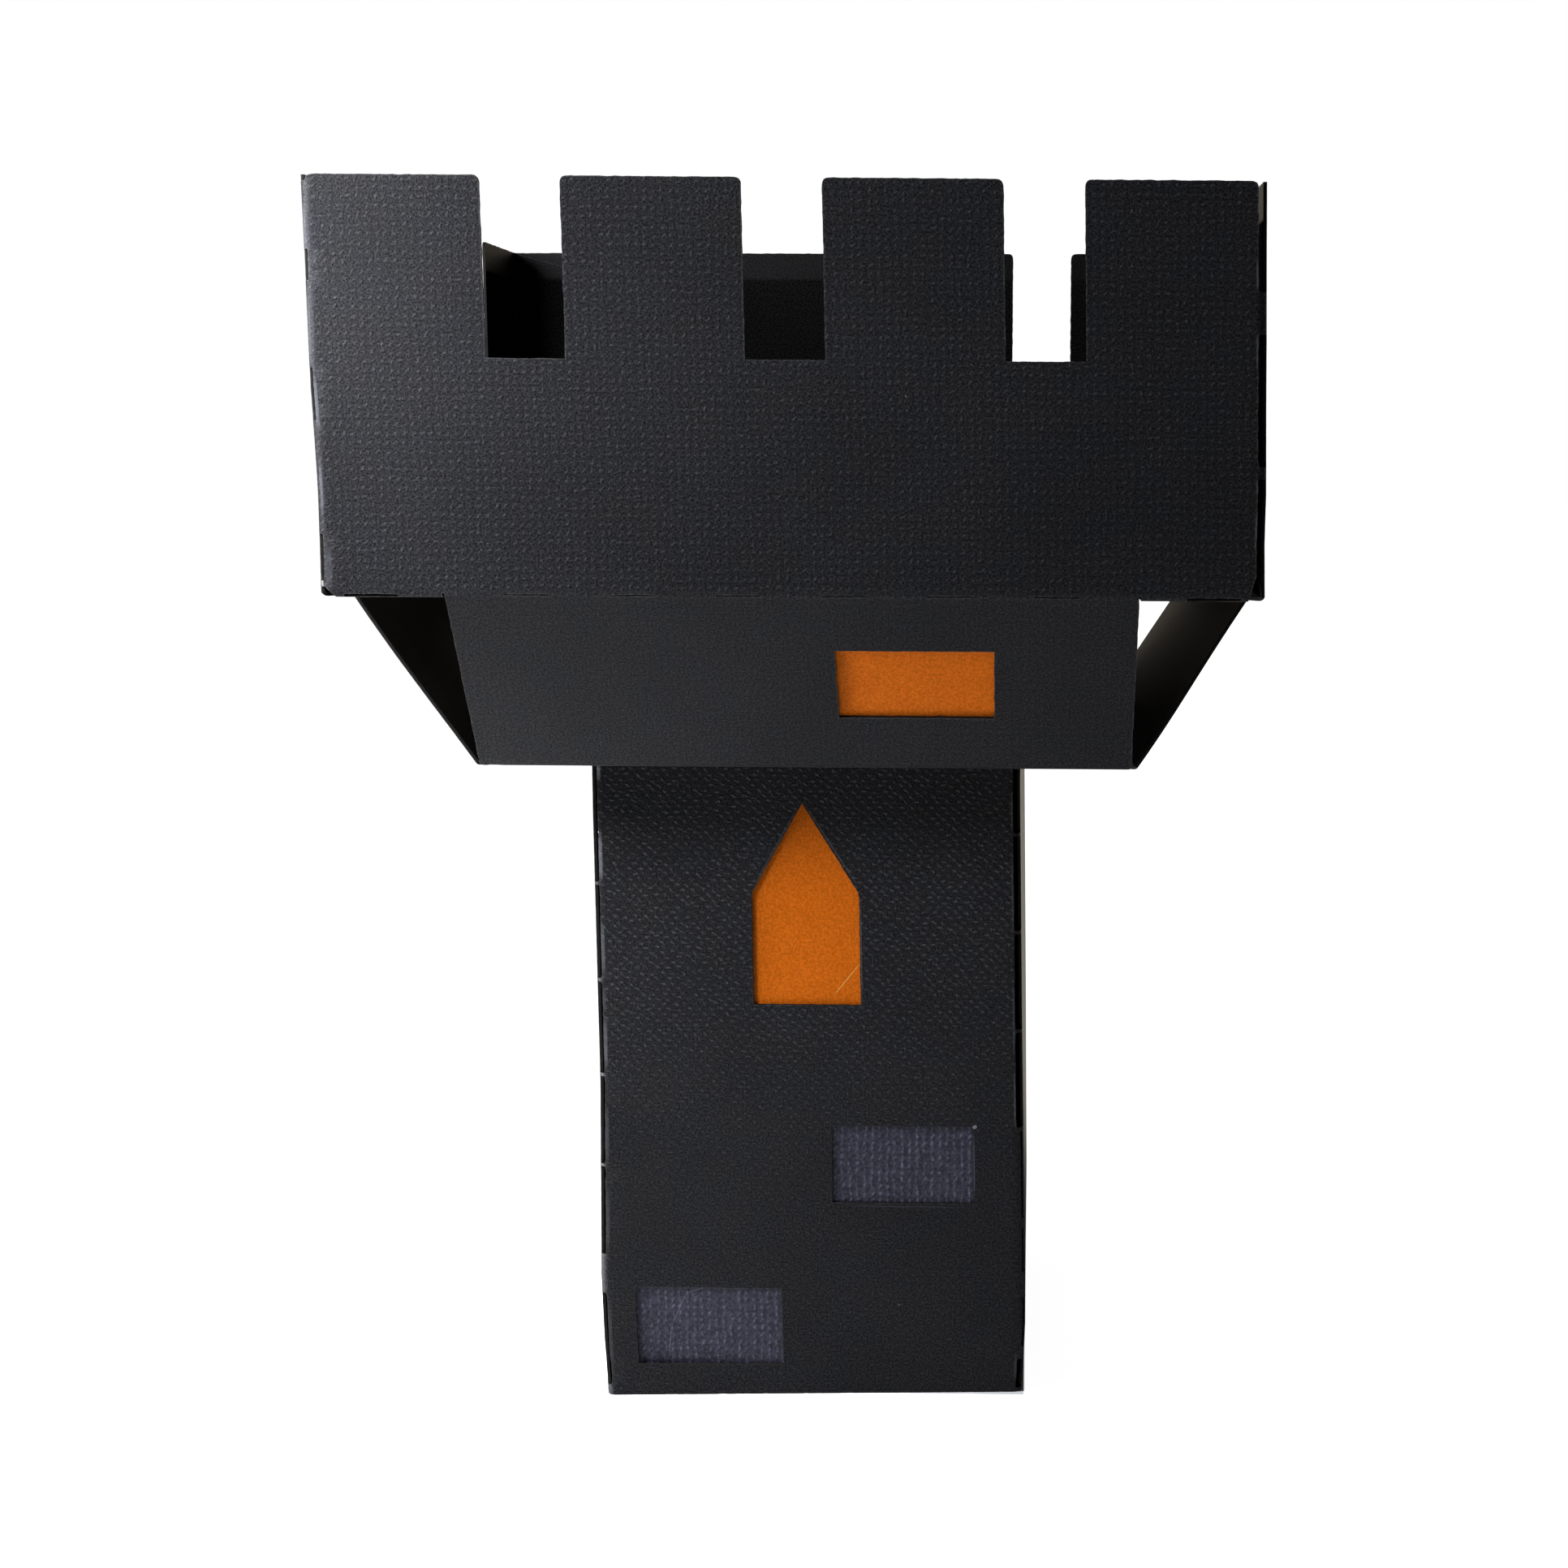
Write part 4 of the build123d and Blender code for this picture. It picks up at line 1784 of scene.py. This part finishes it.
@dataclass(frozen=True)
class Studio:
    """Pale glowing table, even surroundings and lights.

    Attributes:
        floor_half: Half the side of the floor, in metres.
        floor_colour: Colour of the floor.
        glow: Light that the floor gives off.
        seen_glow: Light that the camera sees besides, which makes the floor white but for its shadow.
        ambient: Strength of the surroundings.
        backdrop: Strength of the white backdrop behind the castle, as glossy surfaces show it.
        lamps: Lights.
    """

    floor_half: float = 3.0
    floor_colour: Colour = (0.8, 0.8, 0.8)
    glow: float = 0.02
    seen_glow: float = 0.95
    ambient: float = 0.002
    backdrop: float = 0.9
    lamps: tuple[Lamp, ...] = field(
        default_factory=lambda: (
            Lamp("upper key", Shape.BALL, (-80, -68, 115), 25, 0.93, (0.96, 0.99, 1.07)),
            Lamp("lower key", Shape.CONE, (-90, -24, 12), 15, 0.75, (1.0, 0.99, 1.0), aim=(0, -20, 18)),
            Lamp("overhead", Shape.SQUARE, (0, 0, 1500), 500, 3.9),
        )
    )

    def build(self) -> Thing:
        """Builds the surroundings and the floor.

        Returns:
            The floor.
        """
        for lamp in self.lamps:
            lamp.build()
        world = bpy.data.worlds.new("surroundings")
        world.use_nodes = True
        graph = NodeGraph(world.node_tree)
        path = graph.add("ShaderNodeLightPath")
        seen, mirrored = path.outputs["Is Camera Ray"], path.outputs["Is Glossy Ray"]
        direction = graph.add("ShaderNodeTexCoord").outputs["Generated"]
        axes = graph.axes(direction)
        behind = graph.times(graph.ramp(axes[1], BACKDROP_SIDE), graph.ramp(axes[2], BACKDROP_FOOT))
        backdrop = graph.times(graph.times(behind, self.backdrop), mirrored)
        even = graph.math("ADD", backdrop, self.ambient)
        colour = graph.mix(seen, WARM, WHITE)
        sky = graph.add("ShaderNodeBackground", Color=colour, Strength=graph.math("MAXIMUM", seen, even))
        graph.add("ShaderNodeOutputWorld", Surface=sky.outputs[0])
        bpy.context.scene.world = world
        half = self.floor_half
        mesh = bpy.data.meshes.new("floor")
        mesh.from_pydata([(-half, -half, 0), (half, -half, 0), (half, half, 0), (-half, half, 0)], [], [(0, 1, 2, 3)])
        mesh.materials.append(self.floor_material())
        return placed("floor", mesh)

    def floor_material(self) -> Material:
        """Floor that looks white to the camera but keeps its shadow.

        Returns:
            The material.
        """
        material, graph = new_material("floor")
        path = graph.add("ShaderNodeLightPath")
        seen, mirrored = path.outputs["Is Camera Ray"], path.outputs["Is Glossy Ray"]
        paper = graph.add("ShaderNodeBsdfDiffuse", Color=(*self.floor_colour, 1))
        place = graph.add("ShaderNodeTexCoord").outputs["Object"]
        cross = graph.axes(graph.vector("ABSOLUTE", place))
        outside = graph.ramp(graph.math("MAXIMUM", cross[0], cross[1]), FOOTPRINT)
        behind = graph.ramp(graph.axes(place)[1], Ramp(*TABLE_BACK, 0.0, self.backdrop))
        far = graph.ramp(graph.vector("LENGTH", place), Ramp(*TABLE_EDGE, self.seen_glow, 1.05))
        extra = graph.math("ADD", graph.times(seen, far), graph.times(mirrored, behind))
        strength = graph.times(graph.math("ADD", extra, self.glow), outside)
        glow = graph.add("ShaderNodeEmission", Color=graph.mix(mirrored, WHITE, PALE_WARM), Strength=strength)
        both = graph.add("ShaderNodeAddShader", in0=paper.outputs[0], in1=glow.outputs[0])
        graph.add("ShaderNodeOutputMaterial", Surface=both.outputs[0])
        return material


def attach(thing: Thing, node: str, slot: Slot) -> None:
    """Ties a piece to the frame, in place of the CAD node that it stands for.

    Args:
        thing: The piece.
        node: The CAD node.
        slot: Not used.
    """
    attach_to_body(thing, "root")
    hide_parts(node)
    LOG.info("%s: %d faces, for %s", thing.name, len(thing.data.polygons), node)


def dress(frame: dict) -> None:
    """Builds every piece of the castle.
    """
    finishes = build_finishes()
    castle = Castle(finishes)
    attach(castle.tower(), "tower_body", Slot.BLACK)
    attach(castle.parapet(), "parapet", Slot.BLACK)
    for node in ("upper_brick_backing", "lower_brick_backing"):
        attach(ribbed_card(f"{node}_card", node, RIB_PITCH, RIB_DEPTH, finishes.slate), node, Slot.SLATE)
    for node, finish in (
        ("arch_window_backing", finishes.orange),
        ("corbel_window_backing", finishes.orange),
        ("parapet_floor", finishes.inner),
    ):
        for slot in frame["nodes"][node].material_slots:
            slot.material = finish


def write_sizes(name: str, bounds: object, sizes: dict) -> None:
    """Keeps the corners of the model under a name, as plain lists."""
    sizes[name] = [list(map(float, corner)) for corner in bounds]


def main() -> None:
    """Dresses the castle, lights it and keeps its sizes."""
    logging.basicConfig(level=logging.INFO, format="%(message)s")
    noise.seed_set(NOISE_SEED)
    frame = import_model()
    sizes: dict = {}
    write_sizes("frame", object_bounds(), sizes)
    dress(frame)
    Viewpoint().build()
    Studio().build()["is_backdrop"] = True
    write_sizes("dressed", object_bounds(), sizes)
    LOG.info("sizes: %s", sizes)
    bpy.context.scene.view_settings.view_transform = "Standard"


if __name__ == "__main__":
    main()
